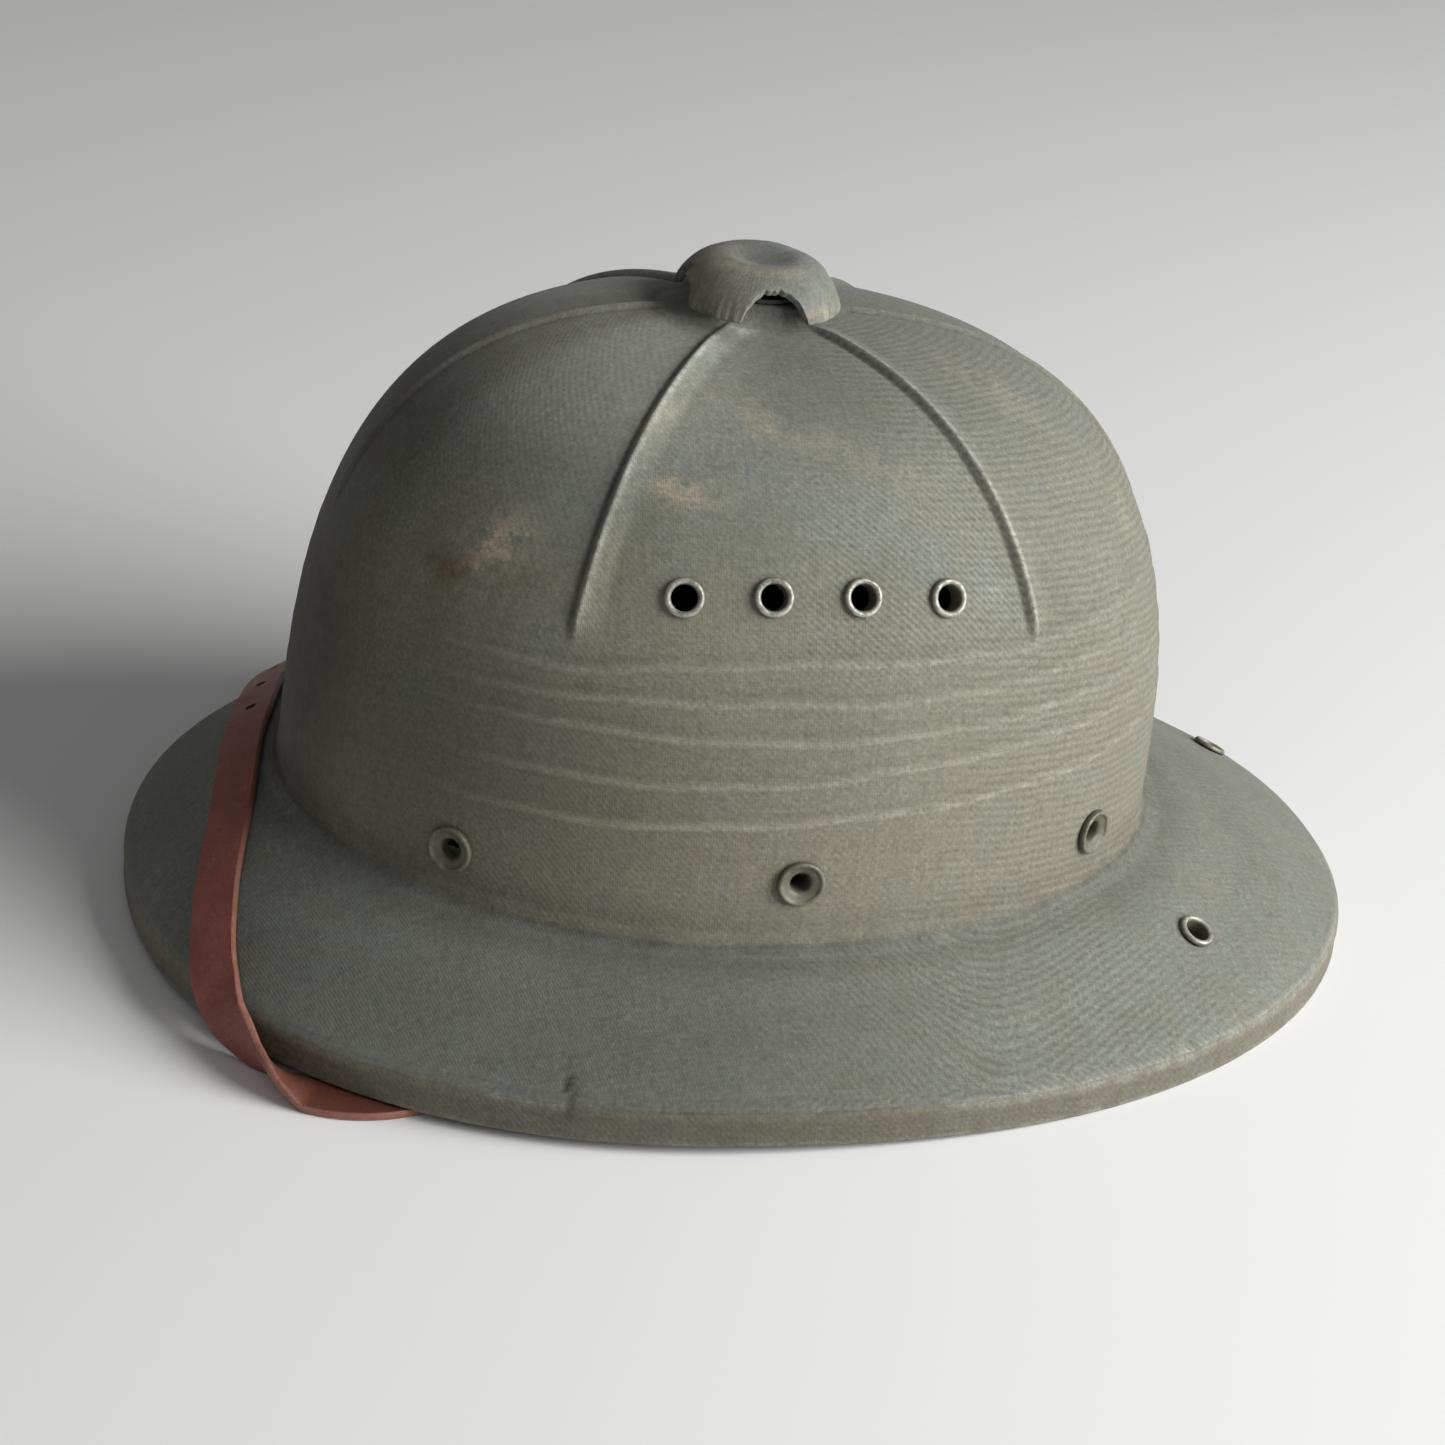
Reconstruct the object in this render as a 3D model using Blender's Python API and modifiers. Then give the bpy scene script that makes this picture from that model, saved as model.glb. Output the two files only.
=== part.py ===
"""Pressed-fibre sun helmet, cloth covered, with its chin strap stowed over the front of the brim.

Metres, +Z up, +X to the front, +Y to the wearer's left. The origin lies on the table that the helmet
stands on, under the middle of the brim. The crown leans back a little, so crown sizes are given in its
own frame: x forward, y left, z up from the plane where the crown meets the brim.
"""
import math

import bmesh
import bpy
from mathutils import Matrix, Vector

MM = 0.001
WELD_DISTANCE = 0.01 * MM

# Crown
CROWN_FRONT = 114.5 * MM
CROWN_REAR = 120.2 * MM
CROWN_SIDE = 94.5 * MM
CROWN_RISE = 130.8 * MM
CROWN_LEAN = math.radians(1.4)
TOP_SHIFT = 1.7 * MM
JUNCTION_HEIGHT = 36.8 * MM
SHELL_WALL = 2.6 * MM
FILLET = 4.0 * MM
FRONT_TAPER_SHARE = 0.036
REAR_TAPER_SHARE = 0.004
SIDE_TAPER_SHARE = 0.041
FRONT_POWER = 3.0
REAR_POWER = 2.75
SIDE_POWER = 2.45
RISE_POWER = 2.85

# Brim, measured from the middle of the crown
BRIM_FRONT = 153.8 * MM
BRIM_REAR = 180.0 * MM
BRIM_SIDE = 130.1 * MM
RIM_BAND = 8.9 * MM
RIM_ROUND = 2.6 * MM
BRIM_POWER = 2.14
BRIM_FALL_SHARE = 0.63
LIFT_START = -95.0 * MM
LIFT_END = 30.0 * MM

# Raised beads and lapped folds pressed into the crown
BEAD_HALF_WIDTH = 2.5 * MM
BEAD_PROUD = 1.4 * MM
BEAD_FADE = 16.0 * MM
BEAD_SPREAD = math.radians(32.8)
FOLD_TOP = 73.0 * MM
FOLD_PITCH = 9.4 * MM
FOLD_PROUD = 0.8 * MM
FOLD_STEP = 0.9 * MM
FOLD_FADE = 10.0 * MM
FOLD_COUNT = 5
FOLD_SLOPE_SHARE = 0.055

# Gaps between pieces that touch
GAP = 0.3 * MM
INSIDE_GAP = 0.8 * MM
OVERRUN = 8.0 * MM

# Eyelets: small vent eyelets on the sides and brim, dished hollow rivets round the base
EYELET_FLANGE = 4.9 * MM
EYELET_BORE = 3.2 * MM
EYELET_METAL = 0.7 * MM
EYELET_ROLL = 0.9 * MM
EYELET_HEIGHT = 87.5 * MM
EYELET_SAG = 1.7 * MM
EYELET_STEP = math.radians(12.67)
EYELET_COUNT = 4
RIVET_FLANGE = 6.0 * MM
RIVET_BORE = 2.6 * MM
RIVET_METAL = 0.8 * MM
RIVET_DISH = 1.3 * MM
RIVET_HEIGHT = 17.9 * MM
FRONT_RIVET_DROP = 4.8 * MM
REAR_RIVET_DROP = 2.9 * MM
RIVET_STEP = math.radians(45.2)
SIDE_MIDDLE = math.radians(90.6)
BRIM_EYELET_ANGLES = (math.radians(139.2), math.radians(197.5))
BRIM_EYELET_REACH_SHARES = (0.52, 0.84)

# Vent on top of the crown
CAP_RADIUS = 21.5 * MM
CAP_HEIGHT = 11.3 * MM
CAP_STANDOFF = 1.3 * MM
CAP_WALL = 2.2 * MM
CAP_NOTCH_WIDTH = 17.5 * MM
CAP_NOTCH_HEIGHT = 7.8 * MM
NOTCH_ROUND_SHARE = 0.42
CAP_OUTER_SHARES = (
    (0.0, 0.985), (0.08, 1.0), (0.23, 0.975), (0.38, 0.94), (0.53, 0.885), (0.68, 0.81),
    (0.81, 0.725), (0.92, 0.62), (0.985, 0.51), (1.0, 0.41), (0.965, 0.3), (0.905, 0.16), (0.885, 0.0))
VENT_HOLE = 12.0 * MM
NECK_RADIUS = 13.8 * MM
NECK_FOOT = 18.6 * MM
NECK_RISE = 5.0 * MM
COLLAR_FLANGE = 16.0 * MM
COLLAR_METAL = 1.0 * MM
COLLAR_SAG = 1.1 * MM
BRIDGE_WIDTH = 5.0 * MM
BRIDGE_DEPTH_SHARE = 0.8
BOSS_RADIUS = 4.2 * MM
BOSS_LENGTH = 5.0 * MM
STEM_RADIUS = 2.2 * MM
STEM_HEAD = 6.5 * MM
STEM_HEAD_DEPTH = 1.2 * MM
STEM_RUNNING_GAP = 0.15 * MM
NUT_RADIUS = 4.2 * MM
NUT_LENGTH = 2.2 * MM
VENT_LIFT = 2.5 * MM

# Headband, hung inside the crown
BAND_STANDOFF = 9.0 * MM
BAND_THICKNESS = 1.6 * MM
BAND_BOTTOM = -2.0 * MM
BAND_HEIGHT = 34.0 * MM
LEATHER_THICKNESS = 1.3 * MM
LEATHER_STANDOFF = 2.4 * MM
LEATHER_HEM = 6.0 * MM
LEATHER_RISE = 3.0 * MM
HANGER_METAL = 0.8 * MM
HANGER_WIDTH = 10.0 * MM
HANGER_DROP = 7.0 * MM
HANGER_FOOT = 8.0 * MM
MITRE_LIMIT_SHARE = 0.5
ADJUSTER_WIDTH = 13.0 * MM
ADJUSTER_SPREAD = math.radians(36.0)
ADJUSTER_STANDOFF = 2.0 * MM
ADJUSTER_RAMP_SHARE = 0.2
SLIDER_METAL = 1.0 * MM
SLIDER_LENGTH = 9.0 * MM

# Chin strap
STRAP_WIDTH = 12.7 * MM
STRAP_THICKNESS = 2.2 * MM
STRAP_END = 9.0 * MM
STRAP_HOLE = 1.6 * MM
WIRE_RADIUS = 1.0 * MM
BUCKLE_LENGTH = 12.0 * MM
BUCKLE_CORNER = 1.5 * MM
PRONG_RADIUS = 0.8 * MM
SLOT_LENGTH = 8.6 * MM
SLOT_SHARE = 0.3
FOLD_BACK = 9.5 * MM
TONGUE_TAIL = 21.0 * MM
KEEPER_WIDTH = 5.5 * MM
KEEPER_WALL = 1.2 * MM
KEEPER_PLACE = 13.5 * MM
BUCKLE_PLACE_SHARE = 0.38

# The strap's route. On the brim: degrees round from the front, share of the brim's reach, and how far it
# stands off as a share of its width. Off the brim: degrees, share of the reach, height as a share of the
# rim's top, and the tilt of its grain side from upright, in degrees.
LEFT_BRIM_SHARES = (
    (0.0, 0.255, 0.03), (3.6, 0.295, 0.02), (7.0, 0.35, 0.0), (10.2, 0.42, 0.0), (13.0, 0.49, 0.0),
    (15.8, 0.57, 0.0), (18.4, 0.648, 0.0), (21.0, 0.73, 0.0), (23.4, 0.81, 0.0), (25.8, 0.885, 0.02),
    (28.2, 0.955, 0.03))
LEFT_RIM_SHARES = (
    (31.5, 1.055, 0.92, 66.0), (35.0, 1.09, 0.68, 92.0), (38.5, 1.12, 0.42, 122.0),
    (41.6, 1.13, 0.20, 152.0), (44.6, 1.11, 0.10, 180.0), (47.8, 1.05, 0.10, 180.0),
    (50.6, 0.94, 0.10, 180.0), (52.8, 0.79, 0.10, 180.0), (54.8, 0.63, 0.10, 180.0),
    (57.2, 0.49, 0.12, 182.0), (60.4, 0.39, 0.25, 190.0), (64.4, 0.31, 0.60, 199.0),
    (69.0, 0.23, 1.10, 208.0), (74.0, 0.14, 1.70, 218.0), (79.0, 0.03, 2.35, 230.0))
RIGHT_BRIM_SHARES = (
    (5.0, 0.225, 0.04), (10.0, 0.215, 0.04), (15.0, 0.22, 0.04), (20.0, 0.245, 0.03), (25.0, 0.295, 0.03),
    (30.0, 0.37, 0.03), (35.0, 0.46, 0.04), (39.5, 0.555, 0.05), (43.5, 0.655, 0.06),
    (47.0, 0.765, 0.07), (50.0, 0.87, 0.08), (52.5, 0.96, 0.08))
RIGHT_RIM_SHARES = (
    (55.2, 1.05, 1.00, 65.0), (57.8, 1.11, 0.72, 94.0), (60.3, 1.15, 0.42, 126.0),
    (62.5, 1.15, 0.18, 158.0), (64.7, 1.06, 0.10, 180.0), (66.8, 0.93, 0.10, 180.0),
    (68.6, 0.80, 0.11, 182.0))
BUCKLE_ROOM = 4.0 * MM
RUN_START = math.radians(70.5)
RUN_START_SHARE = 0.3
RUN_START_TILT = math.radians(195)
RUN_END_SHARES = (82.0, -0.04, 1.90, 215.0)
WALL_FOOT = math.radians(85)
WALL_FOOT_TILT = math.radians(246)
HOLE_START = 38.0 * MM
HOLE_PITCH = 20.0 * MM
HOLE_COUNT = 5

CROWN_X = (BRIM_REAR - BRIM_FRONT) / 2
RIM_LIFT = STRAP_THICKNESS + 2 * GAP
SIDES = {"left": 1, "right": -1}
SLOPE_STEP = 1e-3
SOFT_EDGE = math.radians(30)
METAL_EDGE = math.radians(40)
WIRE_EDGE = math.radians(60)


def start():
    """Empty the scene and make the collections."""
    for item in list(bpy.data.objects):
        bpy.data.objects.remove(item)
    parts = bpy.data.collections.new("sun_helmet")
    tools = bpy.data.collections.new("cutters")
    bpy.context.scene.collection.children.link(parts)
    bpy.context.scene.collection.children.link(tools)
    return parts, tools


PARTS, TOOLS = start()


def make_material(name, colour, roughness, metallic=0):
    material = bpy.data.materials.new(name)
    material.use_nodes = True
    shader = material.node_tree.nodes["Principled BSDF"]
    shader.inputs["Base Color"].default_value = (*colour, 1)
    shader.inputs["Roughness"].default_value = roughness
    shader.inputs["Metallic"].default_value = metallic
    material.diffuse_color = (*colour, 1)
    return material


CLOTH = make_material("olive_cloth", (0.13, 0.13, 0.095), 0.9)
PAINTED = make_material("olive_metal", (0.17, 0.17, 0.12), 0.5, 0.4)
BRASS = make_material("old_brass", (0.42, 0.31, 0.13), 0.4, 1)
STEEL = make_material("spring_steel", (0.35, 0.35, 0.34), 0.4, 1)
WEBBING = make_material("webbing", (0.36, 0.30, 0.19), 0.9)
BAND_LEATHER = make_material("band_leather", (0.22, 0.11, 0.05), 0.6)
STRAP_LEATHER = make_material("strap_leather", (0.12, 0.04, 0.035), 0.55)


def add_object(name, mesh, material=None):
    item = bpy.data.objects.new(name, mesh)
    (PARTS if material else TOOLS).objects.link(item)
    if material:
        mesh.materials.append(material)
    else:
        item.hide_render = True
        item.display_type = "WIRE"
    return item


def mesh_from(bm, name):
    """Turn a closed bmesh into a mesh with its faces pointing out."""
    bmesh.ops.recalc_face_normals(bm, faces=bm.faces)
    mesh = bpy.data.meshes.new(name)
    bm.to_mesh(mesh)
    bm.free()
    return mesh


def smooth(item, angle):
    item.data.shade_smooth()
    item.data.set_sharp_from_angle(angle=angle)


def cut(item, cutter, operation="DIFFERENCE"):
    modifier = item.modifiers.new(cutter.name, "BOOLEAN")
    modifier.operation = operation
    modifier.object = cutter
    modifier.solver = "EXACT"


def loft(name, rings, closed_ends, material=None):
    """Skin rings of equal point count. Ends are closed by a face, or are joined to each other."""
    bm = bmesh.new()
    rows = [[bm.verts.new(point) for point in ring] for ring in rings]
    pairs = list(zip(rows, rows[1:]))
    if not closed_ends:
        pairs.append((rows[-1], rows[0]))
    for low, high in pairs:
        for i in range(len(low)):
            j = (i + 1) % len(low)
            if len(high) == 1:
                bm.faces.new((low[i], low[j], high[0]))
            elif len(low) == 1:
                break
            else:
                bm.faces.new((low[i], low[j], high[j], high[i]))
        if len(low) == 1:
            for i in range(len(high)):
                bm.faces.new((low[0], high[i], high[(i + 1) % len(high)]))
    if closed_ends:
        for row in (rows[0], rows[-1]):
            if len(row) > 1:
                bm.faces.new(row)
    return add_object(name, mesh_from(bm, name), material)


def turned(name, profile, steps, closed, material=None):
    """Screw a profile of (radius, height) points about local Z, top to bottom on its outer side."""
    mesh = bpy.data.meshes.new(name)
    count = len(profile)
    edges = [(i, (i + 1) % count) for i in range(count if closed else count - 1)]
    mesh.from_pydata([(radius, 0, height) for radius, height in profile], edges, [])
    item = add_object(name, mesh, material)
    screw = item.modifiers.new("turn", "SCREW")
    screw.steps = steps
    screw.render_steps = steps
    screw.use_merge_vertices = True
    screw.merge_threshold = WELD_DISTANCE
    return item


def cylinder(name, radius, low, high, steps, material=None):
    """A cylinder along local Z, from low to high."""
    bm = bmesh.new()
    bmesh.ops.create_cone(bm, cap_ends=True, segments=steps, radius1=radius, radius2=radius,
                          depth=high - low, matrix=Matrix.Translation((0, 0, (high + low) / 2)))
    return add_object(name, mesh_from(bm, name), material)


def box(name, size, centre, material=None):
    bm = bmesh.new()
    bmesh.ops.create_cube(bm, size=1, matrix=Matrix.Translation(centre) @ Matrix.Diagonal((*size, 1)))
    return add_object(name, mesh_from(bm, name), material)


def sleeve(name, length, width, depth, wall, material):
    """A flat tube along local X round an opening of width by depth, in local Y and Z."""
    rings = []
    for x, grow in ((-length / 2, 0), (length / 2, 0), (length / 2, wall), (-length / 2, wall)):
        y, z = width / 2 + grow, depth / 2 + grow
        rings.append([Vector((x, a * y, b * z)) for a, b in ((-1, -1), (1, -1), (1, 1), (-1, 1))])
    return loft(name, rings, False, material)


def frame_matrix(origin, along, outward):
    """Local X runs along, local Z outward, as near as they can be square."""
    x = along.normalized()
    z = (outward - outward.dot(x) * x).normalized()
    turn = Matrix((x, z.cross(x), z)).transposed().to_4x4()
    return Matrix.Translation(origin) @ turn


# The shell's surfaces

def lean(x, y, z):
    """From the crown's own frame to the part's frame."""
    c, s = math.cos(CROWN_LEAN), math.sin(CROWN_LEAN)
    return Vector((CROWN_X + x * c - z * s, y, JUNCTION_HEIGHT + x * s + z * c))


def latitude_at(height, inset=0):
    share = min(max(height / (CROWN_RISE - inset), 0), 1)
    return math.asin(share ** (RISE_POWER / 2))


def crown_point(angle, latitude, inset=0):
    """A point of the crown, without its beads and folds. Angle runs from the front to the left."""
    c, s = math.cos(angle), math.sin(angle)
    length, taper = (CROWN_FRONT, FRONT_TAPER_SHARE) if c > 0 else (CROWN_REAR, REAR_TAPER_SHARE)
    power = (FRONT_POWER if c > 0 else REAR_POWER) * c * c + SIDE_POWER * s * s
    rise = max(math.sin(latitude), 0) ** (2 / RISE_POWER)
    spread = max(math.cos(latitude), 0) ** (2 / power)
    x = (length - inset) * c * spread * (1 - taper * rise) + TOP_SHIFT * rise ** 2
    y = (CROWN_SIDE - inset) * s * spread * (1 - SIDE_TAPER_SHARE * rise)
    return lean(x, y, (CROWN_RISE - inset) * rise)


def surface_normal(surface, a, b):
    """The outward normal of a surface, from its slopes along both of its own directions."""
    across = surface(a + SLOPE_STEP, b) - surface(a - SLOPE_STEP, b)
    up = surface(a, b + SLOPE_STEP) - surface(a, b - SLOPE_STEP)
    return across.cross(up).normalized()


def crown_normal(angle, latitude):
    return surface_normal(crown_point, angle, latitude)


def power_of(value, power):
    return math.copysign(abs(value) ** power, value)


def rim_plan(angle, inset=0):
    """The rim's outline seen from above, in the crown's own frame."""
    c, s = math.cos(angle), math.sin(angle)
    length = BRIM_FRONT if c > 0 else BRIM_REAR
    power = 2 / BRIM_POWER
    return (length - inset) * power_of(c, power), (BRIM_SIDE - inset) * power_of(s, power)


def rim_low(angle):
    """Height of the rim's lower edge: the strap under the front lifts it there."""
    share = (rim_plan(angle)[0] - LIFT_START) / (LIFT_END - LIFT_START)
    share = min(max(share, 0), 1)
    return RIM_LIFT * share * share * (3 - 2 * share)


def rim_top(angle):
    return rim_low(angle) + RIM_BAND


def brim_point(angle, reach):
    """A point of the brim's upper side at a share of its reach from the crown to the rim."""
    inner = crown_point(angle, 0)
    x, y = rim_plan(angle)
    fall = BRIM_FALL_SHARE * reach + (1 - BRIM_FALL_SHARE) * reach * reach
    z = inner.z + (rim_top(angle) - inner.z) * fall
    return Vector((inner.x + (CROWN_X + x - inner.x) * reach, inner.y + (y - inner.y) * reach, z))


def brim_normal(angle, reach):
    normal = surface_normal(brim_point, angle, reach)
    return normal if normal.z > 0 else -normal


def bend(a, corner, b, share):
    """A point on the curve from a to b that is pulled towards corner."""
    return a.lerp(corner, share).lerp(corner.lerp(b, share), share)


BEAD_ANGLES = sorted([0, math.pi] + [turn * math.pi / 2 + sign * BEAD_SPREAD
                                     for turn in (1, 3) for sign in (-1, 1)])
TOP_LATITUDE = math.radians(88.6)
BEAD_STOPS = (-1, -0.5, 0, 0.5, 1)
BETWEEN_BEADS = 6
HALF_ROUND_SHARES = (0, 0.7, 1, 0.7, 0)


def crown_radius(latitude):
    return math.hypot(*(crown_point(BEAD_SPREAD, latitude) - lean(TOP_SHIFT, 0, 0)).xy)


def ring_angles(latitude):
    """Angles round one ring, with five points over each bead, and how far each point rides the bead."""
    half = min(BEAD_HALF_WIDTH / crown_radius(latitude), BEAD_SPREAD / 3)
    angles = []
    for i, middle in enumerate(BEAD_ANGLES):
        following = BEAD_ANGLES[i + 1] if i + 1 < len(BEAD_ANGLES) else BEAD_ANGLES[0] + 2 * math.pi
        angles += [(middle + stop * half, rise) for stop, rise in zip(BEAD_STOPS, HALF_ROUND_SHARES)]
        span = following - middle - 2 * half
        angles += [(middle + half + span * (k + 1) / (BETWEEN_BEADS + 1), 0) for k in range(BETWEEN_BEADS)]
    return angles


def fold_relief(height):
    """How far the lapped folds stand out: full under each fold's upper edge, thinning downwards."""
    for i in range(FOLD_COUNT):
        top = FOLD_TOP - i * FOLD_PITCH
        length = FOLD_FADE if i + 1 == FOLD_COUNT else FOLD_PITCH - FOLD_STEP
        if top - FOLD_STEP - length <= height <= top - FOLD_STEP:
            return FOLD_PROUD * (1 - (top - FOLD_STEP - height) / length)
    return 0


def fold_tilt(angle):
    """The folds run a little lower at the front than at the rear."""
    return -FOLD_SLOPE_SHARE * CROWN_FRONT * math.cos(angle)


def outer_ring(height, share=0):
    """One ring of the crown's outside: at a height among the folds, then a share of the way to the top."""
    nominal = latitude_at(height)
    nominal += (TOP_LATITUDE - nominal) * share
    level = CROWN_RISE * math.sin(nominal) ** (2 / RISE_POWER)
    out_from_vent = crown_radius(nominal) - VENT_HOLE
    bead = BEAD_PROUD * min(max(out_from_vent / BEAD_FADE, 0), 1) if level > FOLD_TOP - FOLD_STEP / 2 else 0
    ring = []
    for angle, rise in ring_angles(max(nominal, latitude_at(FOLD_TOP))):
        low = latitude_at(height + fold_tilt(angle))
        latitude = low + (TOP_LATITUDE - low) * share
        relief = bead * rise + fold_relief(level)
        ring.append(crown_point(angle, latitude) + crown_normal(angle, latitude) * relief)
    return ring


FILLET_SHARES = (0, 0.5, 1)
BRIM_RING_SHARES = (0.3, 0.5, 0.7, 0.86)
UPPER_RINGS = 9


def brim_rings():
    """Rings of the outside from the rim's underside up to the foot of the crown."""
    angles = [angle for angle, rise in ring_angles(latitude_at(FOLD_TOP))]
    rims = [Vector((CROWN_X + rim_plan(angle)[0], rim_plan(angle)[1], 0)) for angle in angles]
    inner_rims = [Vector((CROWN_X + rim_plan(angle, 2 * SHELL_WALL)[0],
                          rim_plan(angle, 2 * SHELL_WALL)[1], rim_low(angle))) for angle in angles]
    rings = [[Vector((CROWN_X, 0, RIM_LIFT))], inner_rims]
    rings.append([rim + Vector((0, 0, rim_low(angle))) for rim, angle in zip(rims, angles)])
    for share in FILLET_SHARES:
        ring = []
        for rim, angle in zip(rims, angles):
            width = (rim - crown_point(angle, 0)).xy.length
            below = rim + Vector((0, 0, rim_top(angle) - RIM_ROUND))
            corner = rim + Vector((0, 0, rim_top(angle)))
            ring.append(bend(below, corner, brim_point(angle, 1 - RIM_ROUND / width), share))
        rings.append(ring)
    for reach in reversed(BRIM_RING_SHARES):
        rings.append([brim_point(angle, reach) for angle in angles])
    for share in FILLET_SHARES:
        ring = []
        for rim, angle in zip(rims, angles):
            width = (rim - crown_point(angle, 0)).xy.length
            foot = brim_point(angle, FILLET / width)
            ring.append(bend(foot, crown_point(angle, 0), crown_point(angle, latitude_at(FILLET)), share))
        rings.append(ring)
    return rings


def outer_rings():
    rings = brim_rings()
    rings.append(outer_ring(FOLD_TOP - FOLD_COUNT * FOLD_PITCH - FOLD_STEP / 2))
    for i in reversed(range(FOLD_COUNT)):
        top = FOLD_TOP - i * FOLD_PITCH
        rings.append(outer_ring(top - FOLD_STEP))
        rings.append(outer_ring(top))
    for i in range(UPPER_RINGS + 1):
        rings.append(outer_ring(FOLD_TOP + FOLD_STEP, i / UPPER_RINGS))
    rings.append([lean(TOP_SHIFT, 0, CROWN_RISE)])
    return rings


INNER_STEPS = 52
INNER_RINGS = 12
INNER_BRIM_SHARES = (0.12, 0.3, 0.5, 0.7, 0.88)
INNER_TOP_LATITUDE = math.radians(87.5)


def inner_rings():
    """The hollow: straight sides inside the rim, the brim's underside, and the crown's inside."""
    angles = [2 * math.pi * i / INNER_STEPS for i in range(INNER_STEPS)]
    rims = [Vector((CROWN_X + rim_plan(angle, SHELL_WALL)[0], rim_plan(angle, SHELL_WALL)[1], 0))
            for angle in angles]
    rings = [[rim - Vector((0, 0, OVERRUN)) for rim in rims]]
    rings.append([rim + Vector((0, 0, rim_top(angle) - SHELL_WALL)) for rim, angle in zip(rims, angles)])
    for reach in reversed(INNER_BRIM_SHARES):
        rings.append([brim_point(angle, reach) - brim_normal(angle, reach) * SHELL_WALL for angle in angles])
    first = latitude_at(FILLET, SHELL_WALL)
    for i in range(INNER_RINGS):
        latitude = first + (INNER_TOP_LATITUDE - first) * i / (INNER_RINGS - 1)
        rings.append([crown_point(angle, latitude, SHELL_WALL) for angle in angles])
    rings.append([lean(TOP_SHIFT, 0, CROWN_RISE - SHELL_WALL)])
    return rings


def make_shell():
    shell = loft("fibre_shell", outer_rings(), True, CLOTH)
    cut(shell, loft("shell_hollow", inner_rings(), True))
    smooth(shell, SOFT_EDGE)
    return shell


SHELL = make_shell()


# Eyelets and hollow rivets

def upright_frame(point, normal):
    """A local frame with Z along the normal and X as near to straight up as it can be."""
    up = Vector((0, 0, 1)) - normal.z * normal
    return frame_matrix(point, up, normal)


def eyelet_profile(flange, bore, metal, roll, stack):
    """A clenched eyelet: rolled flange outside at z = 0, barrel through the stack, flare inside."""
    barrel = bore + metal
    flare = flange - metal
    low = -stack
    return [
        (bore, GAP + roll), (barrel + metal / 2, GAP + roll + metal / 4), (flange, GAP + metal / 2),
        (flange, GAP), (barrel, GAP), (barrel, low), (flare, low), (flare, low - metal), (bore, low - metal)]


def rivet_profile(stack):
    """A dished hollow rivet: raised outer lip, sunk bore."""
    barrel = RIVET_BORE + RIVET_METAL
    middle = (RIVET_FLANGE + barrel) / 2
    low = -stack
    flare = RIVET_FLANGE - RIVET_METAL
    return [
        (RIVET_BORE, GAP + RIVET_METAL / 2), (middle, GAP + RIVET_METAL),
        (middle + RIVET_METAL, GAP + RIVET_DISH),
        (RIVET_FLANGE - RIVET_METAL / 2, GAP + RIVET_DISH), (RIVET_FLANGE, GAP + RIVET_METAL / 2),
        (RIVET_FLANGE, GAP), (barrel, GAP), (barrel, low), (flare, low), (flare, low - RIVET_METAL),
        (RIVET_BORE, low - RIVET_METAL)]


EYELET_STEPS = 14
EYELET_STACK = SHELL_WALL + INSIDE_GAP


def place_eyelet(name, profile, barrel, matrix):
    """Turn an eyelet, put it in its place and drill its hole in the shell."""
    item = turned(name, profile, EYELET_STEPS, True, PAINTED)
    item.matrix_world = matrix
    smooth(item, METAL_EDGE)
    hole = cylinder(name + "_hole", barrel + GAP, -OVERRUN, OVERRUN, EYELET_STEPS)
    hole.matrix_world = matrix
    cut(SHELL, hole)
    return hole


def crown_seat(angle, height):
    latitude = latitude_at(height)
    return upright_frame(crown_point(angle, latitude), crown_normal(angle, latitude))


def make_side_eyelets():
    profile = eyelet_profile(EYELET_FLANGE, EYELET_BORE, EYELET_METAL, EYELET_ROLL, EYELET_STACK)
    for side, sign in SIDES.items():
        for i in range(EYELET_COUNT):
            turn = 2 * i / (EYELET_COUNT - 1) - 1
            angle = SIDE_MIDDLE + turn * (EYELET_COUNT - 1) / 2 * EYELET_STEP
            seat = crown_seat(sign * angle, EYELET_HEIGHT - EYELET_SAG * turn * turn)
            place_eyelet(f"{side}_vent_eyelet_{i + 1}", profile, EYELET_BORE + EYELET_METAL, seat)


def make_brim_eyelets():
    profile = eyelet_profile(EYELET_FLANGE, EYELET_BORE, EYELET_METAL, EYELET_ROLL,
                             EYELET_STACK + INSIDE_GAP)
    for side, angle, reach in zip(SIDES, BRIM_EYELET_ANGLES, BRIM_EYELET_REACH_SHARES):
        seat = upright_frame(brim_point(angle, reach), brim_normal(angle, reach))
        place_eyelet(f"{side}_brim_eyelet", profile, EYELET_BORE + EYELET_METAL, seat)


RIVET_PLACES = {"front": (-1, FRONT_RIVET_DROP), "middle": (0, 0), "rear": (1, REAR_RIVET_DROP)}
FOOT_STACK = SHELL_WALL + INSIDE_GAP + HANGER_METAL + INSIDE_GAP
STRAP_STACK = SHELL_WALL + INSIDE_GAP + STRAP_THICKNESS + INSIDE_GAP
RIVET_HOLES = {}


def rivet_place(side, place):
    """Angle and height of a rivet on the crown."""
    turn, drop = RIVET_PLACES[place]
    return SIDES[side] * (SIDE_MIDDLE + turn * RIVET_STEP), RIVET_HEIGHT - drop


def make_rivets():
    for side in SIDES:
        for place, (turn, _) in RIVET_PLACES.items():
            stack = FOOT_STACK if turn else STRAP_STACK
            seat = crown_seat(*rivet_place(side, place))
            RIVET_HOLES[side, place] = place_eyelet(
                f"{side}_{place}_rivet", rivet_profile(stack), RIVET_BORE + RIVET_METAL, seat)


make_side_eyelets()
make_brim_eyelets()
make_rivets()


# Vent: a cap on a threaded stem, in a bridged collar under a hole in the crown's top

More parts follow.
